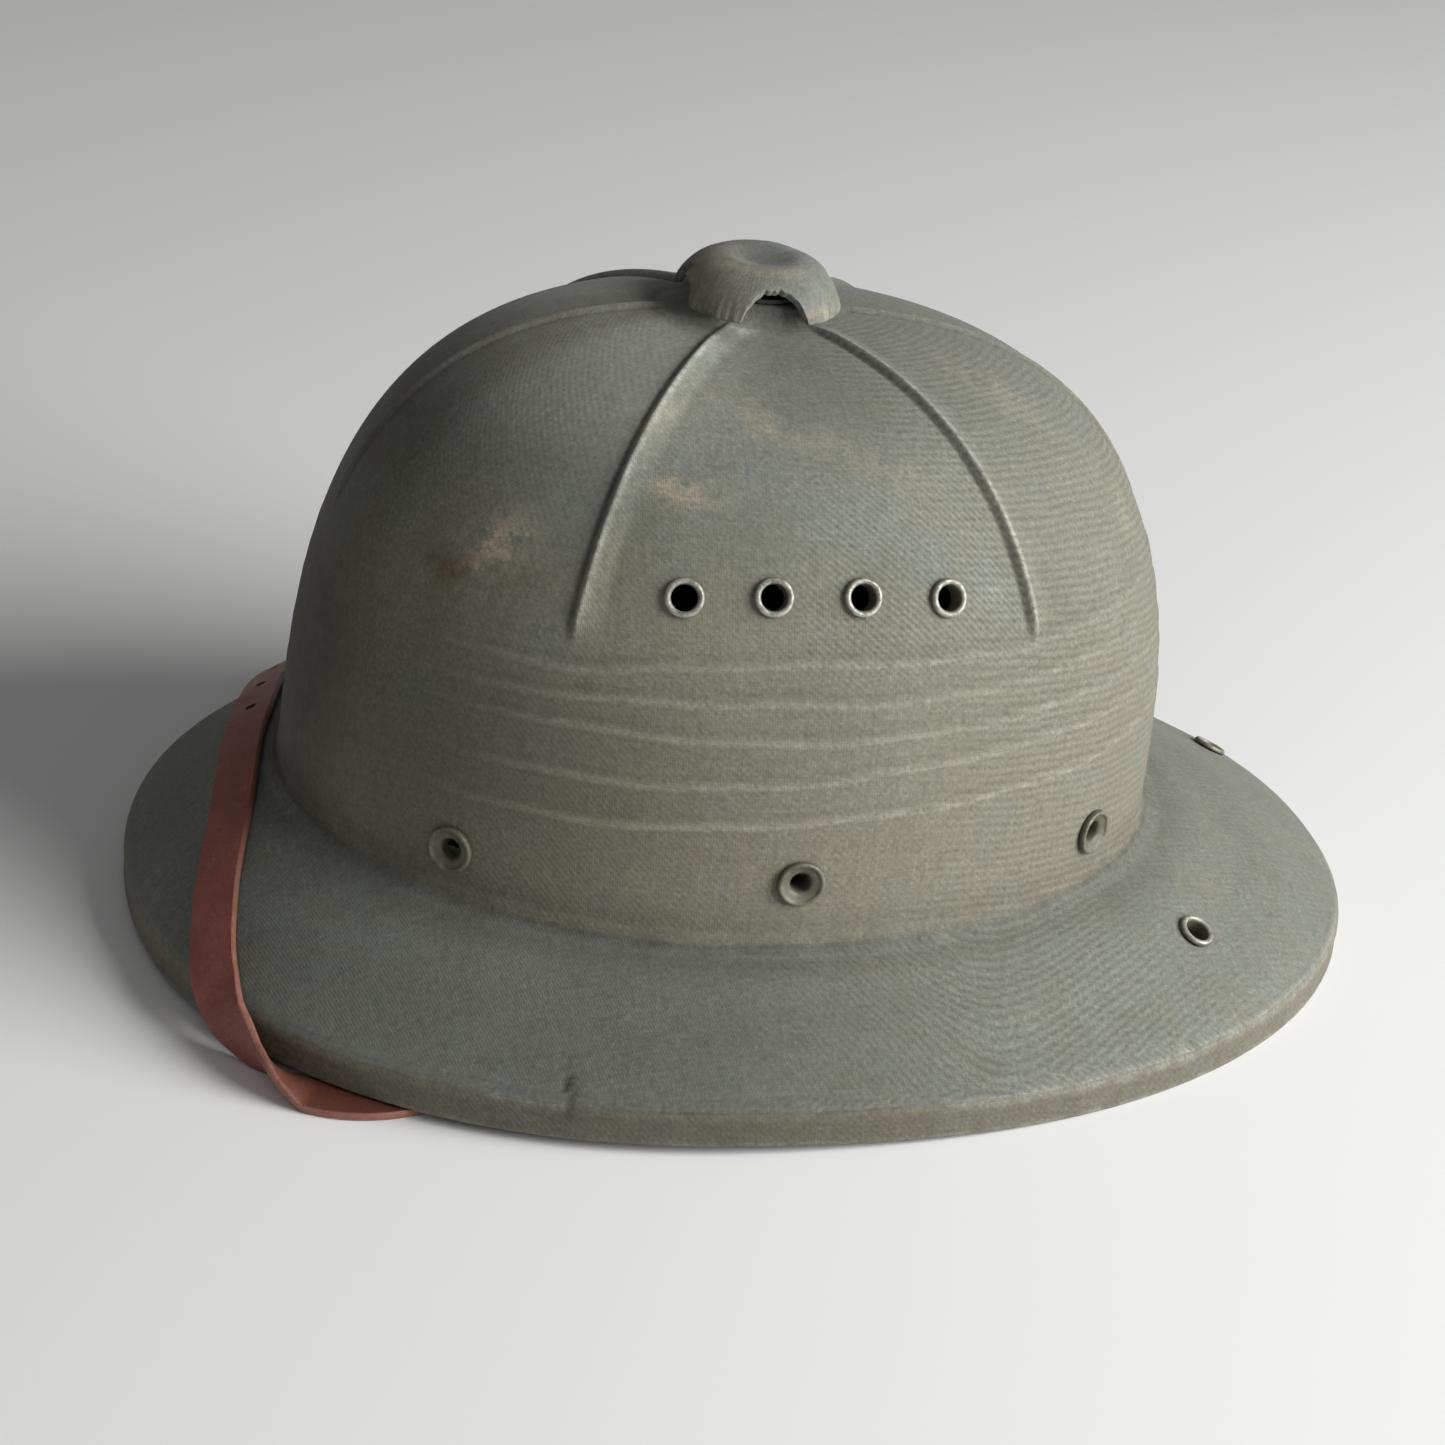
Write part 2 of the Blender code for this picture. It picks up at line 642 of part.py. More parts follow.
def crown_frame():
    """An empty at the foot of the vent's axis, leaning with the crown."""
    empty = bpy.data.objects.new("crown_frame", None)
    PARTS.objects.link(empty)
    empty.location = lean(TOP_SHIFT, 0, 0)
    empty.rotation_euler = (0, -CROWN_LEAN, 0)
    return empty


AXIS = crown_frame()
VENT_STEPS = 28


def on_axis(item, height=0):
    item.parent = AXIS
    item.location = (0, 0, height)
    return item


CAP_BASE = CROWN_RISE + BEAD_PROUD * min((CAP_RADIUS - VENT_HOLE) / BEAD_FADE, 1) + CAP_STANDOFF
CEILING = CROWN_RISE - SHELL_WALL


def make_cap():
    outer = [(CAP_RADIUS * across, CAP_HEIGHT * up) for up, across in CAP_OUTER_SHARES]
    inner = [(max(radius - CAP_WALL, 0), height - CAP_WALL) for radius, height in outer if height > CAP_WALL]
    profile = list(reversed(outer)) + [(inner[0][0], 0)] + inner
    cap = on_axis(turned("vent_cap", profile, VENT_STEPS, False, CLOTH), CAP_BASE)
    across = (CAP_NOTCH_WIDTH, 4 * CAP_RADIUS, 2 * CAP_NOTCH_HEIGHT)
    along = (across[1], across[0], across[2])
    for name, size in (("side_notches", across), ("end_notches", along)):
        notch = on_axis(box(name, size, (0, 0, 0)), CAP_BASE)
        rounding = notch.modifiers.new("round", "BEVEL")
        rounding.width = CAP_NOTCH_WIDTH * NOTCH_ROUND_SHARE
        rounding.segments = 5
        rounding.limit_method = "ANGLE"
        cut(cap, notch)
    smooth(cap, METAL_EDGE)


def make_neck():
    """Raise the crown in a short tapered neck and pierce it."""
    bottom = CROWN_RISE - SHELL_WALL / 2
    top = CROWN_RISE + NECK_RISE
    rounding = SHELL_WALL / 4
    profile = [(0, top), (NECK_RADIUS - rounding, top), (NECK_RADIUS, top - rounding),
               (NECK_FOOT, bottom), (0, bottom)]
    cut(SHELL, on_axis(turned("vent_neck", profile, VENT_STEPS, False)), "UNION")
    cut(SHELL, on_axis(cylinder("vent_hole", VENT_HOLE, CEILING - OVERRUN, top + OVERRUN, VENT_STEPS)))


def make_collar():
    """Ring, cross bridge and threaded boss, in one casting."""
    tube = VENT_HOLE - GAP
    flange_top = CEILING - COLLAR_SAG - GAP
    lip = CROWN_RISE + NECK_RISE + GAP
    profile = [
        (NECK_RADIUS - COLLAR_METAL, lip + COLLAR_METAL), (NECK_RADIUS - COLLAR_METAL, lip), (tube, lip),
        (tube, flange_top), (COLLAR_FLANGE, flange_top),
        (COLLAR_FLANGE, flange_top - COLLAR_METAL),
        (tube - COLLAR_METAL, flange_top - COLLAR_METAL), (tube - COLLAR_METAL, lip + COLLAR_METAL)]
    collar = on_axis(turned("vent_collar", profile, VENT_STEPS, True, PAINTED))
    level = flange_top - COLLAR_METAL / 2
    bar_size = (2 * tube - COLLAR_METAL, BRIDGE_WIDTH, COLLAR_METAL * BRIDGE_DEPTH_SHARE)
    bar = on_axis(box("bridge_bar", bar_size, (0, 0, level)))
    cut(collar, bar, "UNION")
    boss = on_axis(cylinder("bridge_boss", BOSS_RADIUS, level - BOSS_LENGTH / 2, level + BOSS_LENGTH / 2,
                            VENT_STEPS))
    cut(collar, boss, "UNION")
    bore = on_axis(cylinder("boss_bore", STEM_RADIUS + STEM_RUNNING_GAP, level - BOSS_LENGTH,
                            level + BOSS_LENGTH, VENT_STEPS))
    cut(collar, bore)
    return level


def make_stem(level):
    """The stem climbs in the boss and carries the cap on its head. A nut under the boss stops it."""
    top = CAP_BASE + CAP_HEIGHT * CAP_OUTER_SHARES[-1][0] - CAP_WALL - GAP
    nut_top = level - BOSS_LENGTH / 2 - VENT_LIFT - GAP
    bottom = nut_top - NUT_LENGTH
    profile = [
        (0, top), (STEM_HEAD, top), (STEM_HEAD, top - STEM_HEAD_DEPTH), (STEM_RADIUS, top - STEM_HEAD_DEPTH),
        (STEM_RADIUS, nut_top), (NUT_RADIUS, nut_top), (NUT_RADIUS, bottom), (0, bottom)]
    stem = on_axis(turned("vent_stem", profile, VENT_STEPS, False, BRASS))
    smooth(stem, METAL_EDGE)


make_neck()
make_cap()
make_stem(make_collar())


# Ribbons: straps, bands and bent strips

def spline(points, share):
    """A smooth curve through four points in a row, between the middle two."""
    a, b, c, d = points
    square = share * share
    return (b * 2 + (c - a) * share + (a * 2 - b * 5 + c * 4 - d) * square
            + (b * 3 - a - c * 3 + d) * square * share) / 2


def smooth_route(stations, steps):
    """Points and normals along a smooth curve through the stations."""
    ends = [stations[0], *stations, stations[-1]]
    route = []
    for i in range(len(stations) - 1):
        for k in range(steps):
            share = k / steps
            point = spline([station[0] for station in ends[i:i + 4]], share)
            normal = stations[i][1].lerp(stations[i + 1][1], share)
            route.append((point, normal.normalized()))
    return route + [stations[-1]]


def ribbon_rings(route, width, thickness, floor=False, closed=False):
    """Square sections along a route. With a floor, no corner sinks under the table."""
    rings = []
    count = len(route)
    for i, (point, normal) in enumerate(route):
        before = route[(i - 1) % count if closed else max(i - 1, 0)][0]
        after = route[(i + 1) % count if closed else min(i + 1, count - 1)][0]
        along = (after - before).normalized()
        out = (normal - normal.dot(along) * along).normalized()
        across = along.cross(out)
        corners = [across * (a * width / 2) + out * (b * thickness / 2)
                   for a, b in ((-1, -1), (1, -1), (1, 1), (-1, 1))]
        if floor:
            lowest = point.z + min(corner.z for corner in corners)
            point = point - Vector((0, 0, min(lowest, 0)))
        rings.append([point + corner for corner in corners])
    return rings


# Headband, its leather, its hangers and its adjuster

def band_point(angle, height, inset=0):
    """A point round the headband: an ellipse that keeps its distance from the shell."""
    c, s = math.cos(angle), math.sin(angle)
    length = CROWN_FRONT if c > 0 else CROWN_REAR
    off = SHELL_WALL + BAND_STANDOFF + inset
    return lean((length - off) * c, (CROWN_SIDE - off) * s, height)


def band_out(angle):
    along = band_point(angle + SLOPE_STEP, 0) - band_point(angle - SLOPE_STEP, 0)
    return along.cross(lean(0, 0, 1) - lean(0, 0, 0)).normalized()


BAND_STEPS = 52
BAND_TOP = BAND_BOTTOM + BAND_HEIGHT


def ring_of(section, name, material):
    """A closed band with a section of (inset, height) points."""
    rings = []
    for i in range(BAND_STEPS):
        angle = 2 * math.pi * i / BAND_STEPS
        rings.append([band_point(angle, height, inset) for inset, height in section])
    return loft(name, rings, False, material)


def make_bands():
    ring_of([(0, BAND_BOTTOM), (0, BAND_TOP), (BAND_THICKNESS, BAND_TOP), (BAND_THICKNESS, BAND_BOTTOM)],
            "headband", WEBBING)
    inner = BAND_THICKNESS + LEATHER_STANDOFF
    low = BAND_BOTTOM - GAP
    hem_top = BAND_BOTTOM + LEATHER_HEM
    top = BAND_TOP + LEATHER_RISE
    leather = ring_of([
        (-GAP, low), (-GAP, hem_top), (-GAP - LEATHER_THICKNESS, hem_top), (-GAP - LEATHER_THICKNESS, low),
        (0, low - LEATHER_THICKNESS), (inner, low - LEATHER_THICKNESS), (inner + LEATHER_THICKNESS, low),
        (inner + LEATHER_THICKNESS, top), (inner, top), (inner, low)], "sweatband", BAND_LEATHER)
    smooth(leather, METAL_EDGE)


def make_hanger(side, place):
    """A bent spring strip: riveted foot, arm over the headband, hook behind it."""
    angle, height = rivet_place(side, place)
    inset = SHELL_WALL + INSIDE_GAP + HANGER_METAL / 2
    foot_low = crown_point(angle, latitude_at(height - HANGER_FOOT, inset), inset)
    foot_high = crown_point(angle, latitude_at(height + HANGER_FOOT, inset), inset)
    out = band_out(angle)
    over = BAND_TOP + GAP + HANGER_METAL / 2
    mid_band = band_point(angle, over, BAND_THICKNESS / 2)
    hook = band_point(angle, over, BAND_THICKNESS + GAP + HANGER_METAL / 2)
    tip = band_point(angle, over - HANGER_DROP, BAND_THICKNESS + GAP + HANGER_METAL / 2)
    arm = mid_band + out * (BAND_THICKNESS + GAP)
    up = lean(0, 0, 1) - lean(0, 0, 0)
    route = [(foot_low, out), (foot_high, out), (arm, up), (mid_band, up), (hook, (up - out).normalized()),
             (tip, -out)]
    rings = []
    for i, (point, normal) in enumerate(route):
        across = out.cross(up).normalized()
        thick = mitre(route, i, across, HANGER_METAL)
        rings.append([point - across * HANGER_WIDTH / 2 - thick, point + across * HANGER_WIDTH / 2 - thick,
                      point + across * HANGER_WIDTH / 2 + thick, point - across * HANGER_WIDTH / 2 + thick])
    hanger = loft(f"{side}_{place}_hanger", rings, True, STEEL)
    cut(hanger, RIVET_HOLES[side, place])


def mitre(route, i, across, metal):
    """Half the strip's thickness at a bend, so that both runs keep their thickness."""
    point = route[i][0]
    sides = []
    for j in (i - 1, i + 1):
        if 0 <= j < len(route):
            run = (route[j][0] - point) * (1 if j > i else -1)
            sides.append(run.cross(across).normalized())
    middle = sum(sides, Vector()).normalized()
    return middle * (metal / 2 / max(middle.dot(sides[0]), MITRE_LIMIT_SHARE))


def make_adjuster():
    """A short strap fixed to the back of the headband at both ends, and the slider on it."""
    middle = (BAND_BOTTOM + BAND_TOP) / 2
    steps = 16
    route = []
    for i in range(steps + 1):
        share = 2 * i / steps - 1
        lifted = min(1, (1 - abs(share)) / ADJUSTER_RAMP_SHARE)
        stand = GAP + BAND_THICKNESS / 2 + (ADJUSTER_STANDOFF - GAP) * lifted
        route.append((band_point(math.pi + share * ADJUSTER_SPREAD, middle, -stand),
                      band_out(math.pi + share * ADJUSTER_SPREAD)))
    strap = loft("size_strap", ribbon_rings(route, ADJUSTER_WIDTH, BAND_THICKNESS), True, WEBBING)
    smooth(strap, SOFT_EDGE)
    centre, out = route[steps // 2]
    opening = BAND_THICKNESS + 3 * GAP
    height = ADJUSTER_WIDTH + 2 * GAP
    slider = sleeve("size_slider", SLIDER_LENGTH, height, opening, SLIDER_METAL, BRASS)
    slider.matrix_world = frame_matrix(centre, Vector((0, 1, 0)), out)


make_bands()
for hanger_side in SIDES:
    for hanger_place in ("front", "rear"):
        make_hanger(hanger_side, hanger_place)
make_adjuster()


# Chin strap

def rim_out(angle):
    x, y = rim_plan(angle)
    x2, y2 = rim_plan(angle + SLOPE_STEP)
    return Vector((y2 - y, x - x2, 0)).normalized()


def on_brim(sign, degrees, reach, stand):
    angle = sign * math.radians(degrees)
    normal = brim_normal(angle, reach)
    return brim_point(angle, reach) + normal * (STRAP_THICKNESS / 2 + GAP + stand * STRAP_WIDTH), normal


def tilted(sign, angle, turn):
    """A direction turned outward from upright, square to the rim."""
    normal = Vector((0, 0, math.cos(turn))) + rim_out(angle) * math.sin(turn)
    normal.y *= sign
    return normal


def off_brim(sign, degrees, reach, height, tilt):
    angle = math.radians(degrees)
    point = brim_point(sign * angle, reach)
    point.z = height * rim_top(angle)
    return point, tilted(sign, angle, math.radians(tilt))


def run_start():
    """Inside the rim, with room for the buckle beside it."""
    buckle_half = STRAP_WIDTH / 2 + GAP + BUCKLE_CORNER + WIRE_RADIUS
    width = (brim_point(RUN_START, 1) - brim_point(RUN_START, 0)).xy.length
    point = brim_point(-RUN_START, 1 - (SHELL_WALL + BUCKLE_ROOM + buckle_half) / width)
    point.z = RUN_START_SHARE * rim_top(RUN_START)
    return point, tilted(-1, RUN_START, RUN_START_TILT)


def wall_foot(sign):
    """Where a strap turns up against the inside of the crown."""
    inset = SHELL_WALL + INSIDE_GAP + STRAP_THICKNESS / 2
    return crown_point(sign * WALL_FOOT, 0, inset), tilted(sign, WALL_FOOT, WALL_FOOT_TILT)


def against_wall(sign, angle, height):
    inset = SHELL_WALL + INSIDE_GAP + STRAP_THICKNESS / 2
    latitude = latitude_at(height, inset)
    return crown_point(sign * angle, latitude, inset), -crown_normal(sign * angle, latitude)


def wall_route(sign):
    """Stations up the inside of the crown, past the strap's rivet."""
    turn = STRAP_END / 2 / CROWN_FRONT
    return [
        against_wall(sign, SIDE_MIDDLE - turn, RIVET_HEIGHT - STRAP_END),
        against_wall(sign, SIDE_MIDDLE, RIVET_HEIGHT),
        against_wall(sign, SIDE_MIDDLE + turn, RIVET_HEIGHT + STRAP_END)]


def buckle_matrix():
    """Local X along the straight run to the rivet, local Z on the grain side, origin on the heel bar."""
    start_point, start_normal = run_start()
    end_point, end_normal = off_brim(-1, *RUN_END_SHARES)
    heel = start_point.lerp(end_point, BUCKLE_PLACE_SHARE)
    matrix = frame_matrix(heel, end_point - start_point, start_normal + end_normal)
    return matrix @ Matrix.Translation((0, 0, -HEEL_DROP))


def make_long_strap():
    """From the left rivet, out and over the rim, across the front and under the rim to the buckle."""
    left = [on_brim(1, *row) for row in LEFT_BRIM_SHARES]
    left += [off_brim(1, *row) for row in LEFT_RIM_SHARES] + [wall_foot(1)]
    right = [on_brim(-1, *row) for row in RIGHT_BRIM_SHARES]
    right += [off_brim(-1, *row) for row in RIGHT_RIM_SHARES]
    up = BUCKLE.to_3x3() @ Vector((0, 0, 1))
    tongue = [(BUCKLE @ Vector((x, 0, HEEL_DROP)), up) for x in TONGUE_STATIONS]
    to_left = smooth_route(left + wall_route(1), ROUTE_STEPS)
    to_right = smooth_route([left[0]] + right + tongue, ROUTE_STEPS)
    route = list(reversed(to_left)) + to_right[1:]
    strap = loft("long_strap", ribbon_rings(route, STRAP_WIDTH, STRAP_THICKNESS, True), True, STRAP_LEATHER)
    cut(strap, RIVET_HOLES["left", "middle"])
    for i in range(HOLE_COUNT):
        hole = cylinder(f"strap_hole_{i + 1}", STRAP_HOLE, -OVERRUN / 2, OVERRUN / 2, EYELET_STEPS)
        hole.matrix_world = place_along(to_right, HOLE_START + i * HOLE_PITCH)
        cut(strap, hole)
    slot = box("prong_slot", (SLOT_LENGTH, 2 * (PRONG_RADIUS + GAP), 3 * STRAP_THICKNESS),
               (-SLOT_SHARE * SLOT_LENGTH, 0, HEEL_DROP))
    slot.matrix_world = BUCKLE
    cut(strap, slot)
    smooth(strap, SOFT_EDGE)


def place_along(route, distance):
    """A frame at a distance along a route: X along it, Z on its grain side."""
    for (a, normal), (b, following) in zip(route, route[1:]):
        run = (b - a).length
        if distance <= run:
            return frame_matrix(a.lerp(b, distance / run), b - a, normal)
        distance -= run


ROUTE_STEPS = 2
TONGUE_STATIONS = (-BUCKLE_LENGTH, 0, TONGUE_TAIL / 2, TONGUE_TAIL)
LOOP_RADIUS = WIRE_RADIUS + GAP + STRAP_THICKNESS / 2
HEEL_DROP = STRAP_THICKNESS / 2 + GAP + LOOP_RADIUS + STRAP_THICKNESS / 2
LOOP_STEPS = 6


BUCKLE = buckle_matrix()


def make_short_strap():
    """The short strap: a fold round the heel bar, then on under the tongue to the right rivet."""
    turn = BUCKLE.to_3x3()
    local = [((FOLD_BACK, -LOOP_RADIUS), -90)]
    for i in range(LOOP_STEPS + 1):
        angle = -math.pi / 2 - math.pi * i / LOOP_STEPS
        local.append(((LOOP_RADIUS * math.cos(angle), LOOP_RADIUS * math.sin(angle)), math.degrees(angle)))
    run_end = TONGUE_TAIL + GAP
    local.append(((run_end / 2, LOOP_RADIUS), 90))
    route = []
    for (x, z), degrees in local:
        out = Vector((math.cos(math.radians(degrees)), 0, math.sin(math.radians(degrees))))
        route.append((BUCKLE @ Vector((x, 0, z)), turn @ out))
    rest = smooth_route([(BUCKLE @ Vector((run_end, 0, LOOP_RADIUS)), turn @ Vector((0, 0, 1)))]
                        + [wall_foot(-1)] + wall_route(-1), ROUTE_STEPS)
    rings = ribbon_rings(route + rest, STRAP_WIDTH, STRAP_THICKNESS)
    strap = loft("short_strap", rings, True, STRAP_LEATHER)
    reach = RING_RADIUS + PRONG_RADIUS + GAP
    slot = box("prong_gap", (2 * reach + STRAP_THICKNESS, 2 * (PRONG_RADIUS + GAP), 3 * LOOP_RADIUS),
               (-STRAP_THICKNESS / 2, 0, 0))
    slot.matrix_world = BUCKLE
    cut(strap, slot)
    cut(strap, RIVET_HOLES["right", "middle"])
    smooth(strap, SOFT_EDGE)


def tube(name, points, radius, cyclic, material):
    """A wire along points, as a mesh with its caps welded."""
    curve = bpy.data.curves.new(name, "CURVE")
    curve.dimensions = "3D"
    curve.bevel_depth = radius
    curve.bevel_resolution = 2
    curve.use_fill_caps = True
    line = curve.splines.new("POLY")
    line.points.add(len(points) - 1)
    for point, place in zip(line.points, points):
        point.co = (*place, 1)
    line.use_cyclic_u = cyclic
    drawn = bpy.data.objects.new(name, curve)
    TOOLS.objects.link(drawn)
    mesh = bpy.data.meshes.new_from_object(drawn.evaluated_get(bpy.context.evaluated_depsgraph_get()))
    bpy.data.objects.remove(drawn)
    bm = bmesh.new()
    bm.from_mesh(mesh)
    bmesh.ops.remove_doubles(bm, verts=bm.verts, dist=WELD_DISTANCE)
    item = add_object(name, mesh_from(bm, name), material)
    smooth(item, WIRE_EDGE)
    return item


BAR_CLEARANCE = HEEL_DROP + STRAP_THICKNESS / 2 + GAP + WIRE_RADIUS
BUCKLE_TILT = math.asin(BAR_CLEARANCE / BUCKLE_LENGTH)
RING_RADIUS = WIRE_RADIUS + GAP + PRONG_RADIUS
RING_STEPS = 12
RING_TURN = math.radians(290)


def make_buckle():
    """The frame slopes from its heel bar up to the bar that crosses the tongue."""
    half = STRAP_WIDTH / 2 + GAP + BUCKLE_CORNER
    near = half - BUCKLE_CORNER
    far = BUCKLE_LENGTH - BUCKLE_CORNER
    outline = [(0, -near), (0, near), (BUCKLE_CORNER, half), (far, half), (BUCKLE_LENGTH, near),
               (BUCKLE_LENGTH, -near), (far, -half), (BUCKLE_CORNER, -half)]
    c, s = math.cos(BUCKLE_TILT), math.sin(BUCKLE_TILT)
    points = [(-along * c, across, along * s) for along, across in outline]
    frame = tube("buckle_frame", points, WIRE_RADIUS, True, BRASS)
    frame.matrix_world = BUCKLE


def make_prong():
    """The prong is hooked round the heel bar and rests on the far bar."""
    c, s = math.cos(BUCKLE_TILT), math.sin(BUCKLE_TILT)
    leave = math.pi / 2 - BUCKLE_TILT
    points = []
    for i in range(RING_STEPS + 1):
        angle = leave - RING_TURN * (1 - i / RING_STEPS)
        points.append((RING_RADIUS * math.cos(angle), 0, RING_RADIUS * math.sin(angle)))
    run = BUCKLE_LENGTH + WIRE_RADIUS
    x, y, z = points[-1]
    points.append((x - run * c, y, z + run * s))
    prong = tube("buckle_prong", points, PRONG_RADIUS, False, BRASS)
    prong.matrix_world = BUCKLE


def make_keeper():
    low = LOOP_RADIUS - STRAP_THICKNESS / 2 - GAP
    high = HEEL_DROP + STRAP_THICKNESS / 2 + GAP
    wide = STRAP_WIDTH + 2 * GAP
    keeper = sleeve("strap_keeper", KEEPER_WIDTH, wide, high - low, KEEPER_WALL, STRAP_LEATHER)
    keeper.matrix_world = BUCKLE @ Matrix.Translation((KEEPER_PLACE, 0, (low + high) / 2))


make_long_strap()
make_short_strap()
make_buckle()
make_prong()
make_keeper()
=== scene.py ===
"""Looks of a cloth-covered sun helmet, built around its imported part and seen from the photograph's side."""

import math

import bpy
import numpy as np
from mathutils import Matrix, Vector, noise


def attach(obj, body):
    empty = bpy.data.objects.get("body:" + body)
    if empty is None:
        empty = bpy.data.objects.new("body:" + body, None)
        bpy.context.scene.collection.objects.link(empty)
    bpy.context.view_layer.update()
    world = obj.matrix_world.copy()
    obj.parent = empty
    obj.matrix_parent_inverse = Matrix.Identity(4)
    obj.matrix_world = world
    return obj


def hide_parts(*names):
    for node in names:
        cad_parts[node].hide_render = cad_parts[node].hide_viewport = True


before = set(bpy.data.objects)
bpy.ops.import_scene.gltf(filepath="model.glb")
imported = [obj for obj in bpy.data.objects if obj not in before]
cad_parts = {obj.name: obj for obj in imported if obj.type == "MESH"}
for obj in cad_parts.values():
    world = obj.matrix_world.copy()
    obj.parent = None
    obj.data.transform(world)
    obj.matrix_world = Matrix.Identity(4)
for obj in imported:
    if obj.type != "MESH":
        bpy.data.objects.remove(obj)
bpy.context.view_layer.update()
MM = 0.001

# The part's own sizes, in metres
CROWN_FRONT, CROWN_REAR, CROWN_SIDE = 114.5 * MM, 120.2 * MM, 94.5 * MM
CROWN_RISE = 130.8 * MM
CROWN_LEAN = math.radians(1.4)
TOP_SHIFT = 1.7 * MM
JUNCTION_HEIGHT = 36.8 * MM
SHELL_WALL = 2.6 * MM
FRONT_TAPER, REAR_TAPER, SIDE_TAPER = 0.036, 0.004, 0.041
FRONT_POWER, REAR_POWER, SIDE_POWER, RISE_POWER = 3.0, 2.75, 2.45, 2.85
BRIM_FRONT, BRIM_REAR, BRIM_SIDE = 153.8 * MM, 180.0 * MM, 130.1 * MM
RIM_BAND = 8.9 * MM
BRIM_POWER, BRIM_FALL = 2.14, 0.63
LIFT_START, LIFT_END = -95.0 * MM, 30.0 * MM
GAP, INSIDE_GAP = 0.3 * MM, 0.8 * MM
STRAP_WIDTH, STRAP_THICKNESS, STRAP_END = 12.7 * MM, 2.2 * MM, 9.0 * MM
CROWN_X = (BRIM_REAR - BRIM_FRONT) / 2
RIM_LIFT = STRAP_THICKNESS + 2 * GAP
CAP_RADIUS, CAP_HEIGHT, CAP_WALL = 21.5 * MM, 11.3 * MM, 2.2 * MM
NOTCH_HALF, NOTCH_HEIGHT = 8.75 * MM, 7.8 * MM
CAP_BASE = CROWN_RISE + 2.13125 * MM
SIDE_MIDDLE = math.radians(90.6)
BEADS = np.radians([0, 90 - 32.8, 90 + 32.8, 180, 270 - 32.8, 270 + 32.8])
SIDES = (("left", 1), ("right", -1))
RIVET_PLACES = (("front", -45.2, 13.1), ("middle", 0, 17.9), ("rear", 45.2, 15.0))
MIDDLE_RIVET = 17.9 * MM
EYELET_SPREAD, EYELET_HEIGHT, EYELET_DROP = math.radians(19.005), 87.5, 1.7
BRIM_EYELETS = (("left", 139.2, 0.52), ("right", 197.5, 0.84))


# Numbers and curves, for arrays of angles

def smoothstep(low, high, value):
    share = np.clip((np.asarray(value, float) - low) / (high - low), 0, 1)
    return share * share * (3 - 2 * share)


def plateau(start, risen, falling, end, value):
    """From 0 to 1 between the first two limits, and back to 0 between the last two."""
    return smoothstep(start, risen, value) * (1 - smoothstep(falling, end, value))


def hump(value, middle, width):
    return np.exp(-((np.asarray(value, float) - middle) / width) ** 2)


def stack(*parts):
    """Numbers side by side on a new last axis."""
    return np.stack(np.broadcast_arrays(*parts), -1)


def unit(vectors):
    return vectors / np.linalg.norm(vectors, axis=-1, keepdims=True)


def turns(count, extra=0):
    """Angles of equal steps round a circle, and some steps past its end."""
    return np.arange(count + extra) * 2 * math.pi / count


def run_along(points):
    """Length from the first row of points to each row, as a mean over the columns."""
    steps = np.linalg.norm(np.diff(points, axis=0), axis=-1)
    return np.append(0, np.cumsum(steps.reshape(len(steps), -1).mean(1)))


def bend(a, corner, b, share):
    return (1 - share) ** 2 * a + 2 * share * (1 - share) * corner + share ** 2 * b


def catmull(points, steps):
    """A smooth curve through points, with a number of steps to each stretch."""
    points = np.asarray(points, float)
    ends = np.concatenate([points[:1], points, points[-1:]])
    out = []
    for a, b, c, d in zip(ends, ends[1:], ends[2:], ends[3:]):
        for k in range(steps):
            t = k / steps
            out.append((2 * b + (c - a) * t + (2 * a - 5 * b + 4 * c - d) * t * t
                        + (3 * b - a - 3 * c + d) * t ** 3) / 2)
    return np.array(out + [points[-1]])


def wave_noise(points, size, seed):
    """Smooth noise from -1 to 1 at each point, with lumps of about the given size."""
    flat = points.reshape(-1, 3) / size + seed * 17.3
    return np.array([noise.noise(Vector(point)) for point in flat]).reshape(points.shape[:-1])


# The part's surfaces

def lean(x, y, z):
    c, s = math.cos(CROWN_LEAN), math.sin(CROWN_LEAN)
    return stack(CROWN_X + x * c - z * s, y, JUNCTION_HEIGHT + x * s + z * c)


def latitude_at(height, inset=0):
    return math.asin(min(max(height / (CROWN_RISE - inset), 0), 1) ** (RISE_POWER / 2))


def crown(angle, latitude, inset=0):
    c, s = np.cos(angle), np.sin(angle)
    length = np.where(c > 0, CROWN_FRONT, CROWN_REAR)
    taper = np.where(c > 0, FRONT_TAPER, REAR_TAPER)
    power = np.where(c > 0, FRONT_POWER, REAR_POWER) * c * c + SIDE_POWER * s * s
    rise = np.maximum(np.sin(latitude), 0) ** (2 / RISE_POWER)
    spread = np.maximum(np.cos(latitude), 0) ** (2 / power)
    x = (length - inset) * c * spread * (1 - taper * rise) + TOP_SHIFT * rise ** 2
    y = (CROWN_SIDE - inset) * s * spread * (1 - SIDE_TAPER * rise)
    return lean(x, y, (CROWN_RISE - inset) * rise)


def rim_plan(angle, inset=0):
    c, s = np.cos(angle), np.sin(angle)
    length = np.where(c > 0, BRIM_FRONT, BRIM_REAR) - inset
    power = 2 / BRIM_POWER
    return length * np.sign(c) * np.abs(c) ** power, (BRIM_SIDE - inset) * np.sign(s) * np.abs(s) ** power


def rim_low(angle):
    return RIM_LIFT * smoothstep(LIFT_START, LIFT_END, rim_plan(angle)[0])


def brim(angle, reach):
    inner = crown(angle, 0.0)
    x, y = rim_plan(angle)
    outer = stack(CROWN_X + x, y, rim_low(angle) + RIM_BAND)
    fall = BRIM_FALL * reach + (1 - BRIM_FALL) * reach * reach
    return inner + (outer - inner) * stack(reach, reach, fall)


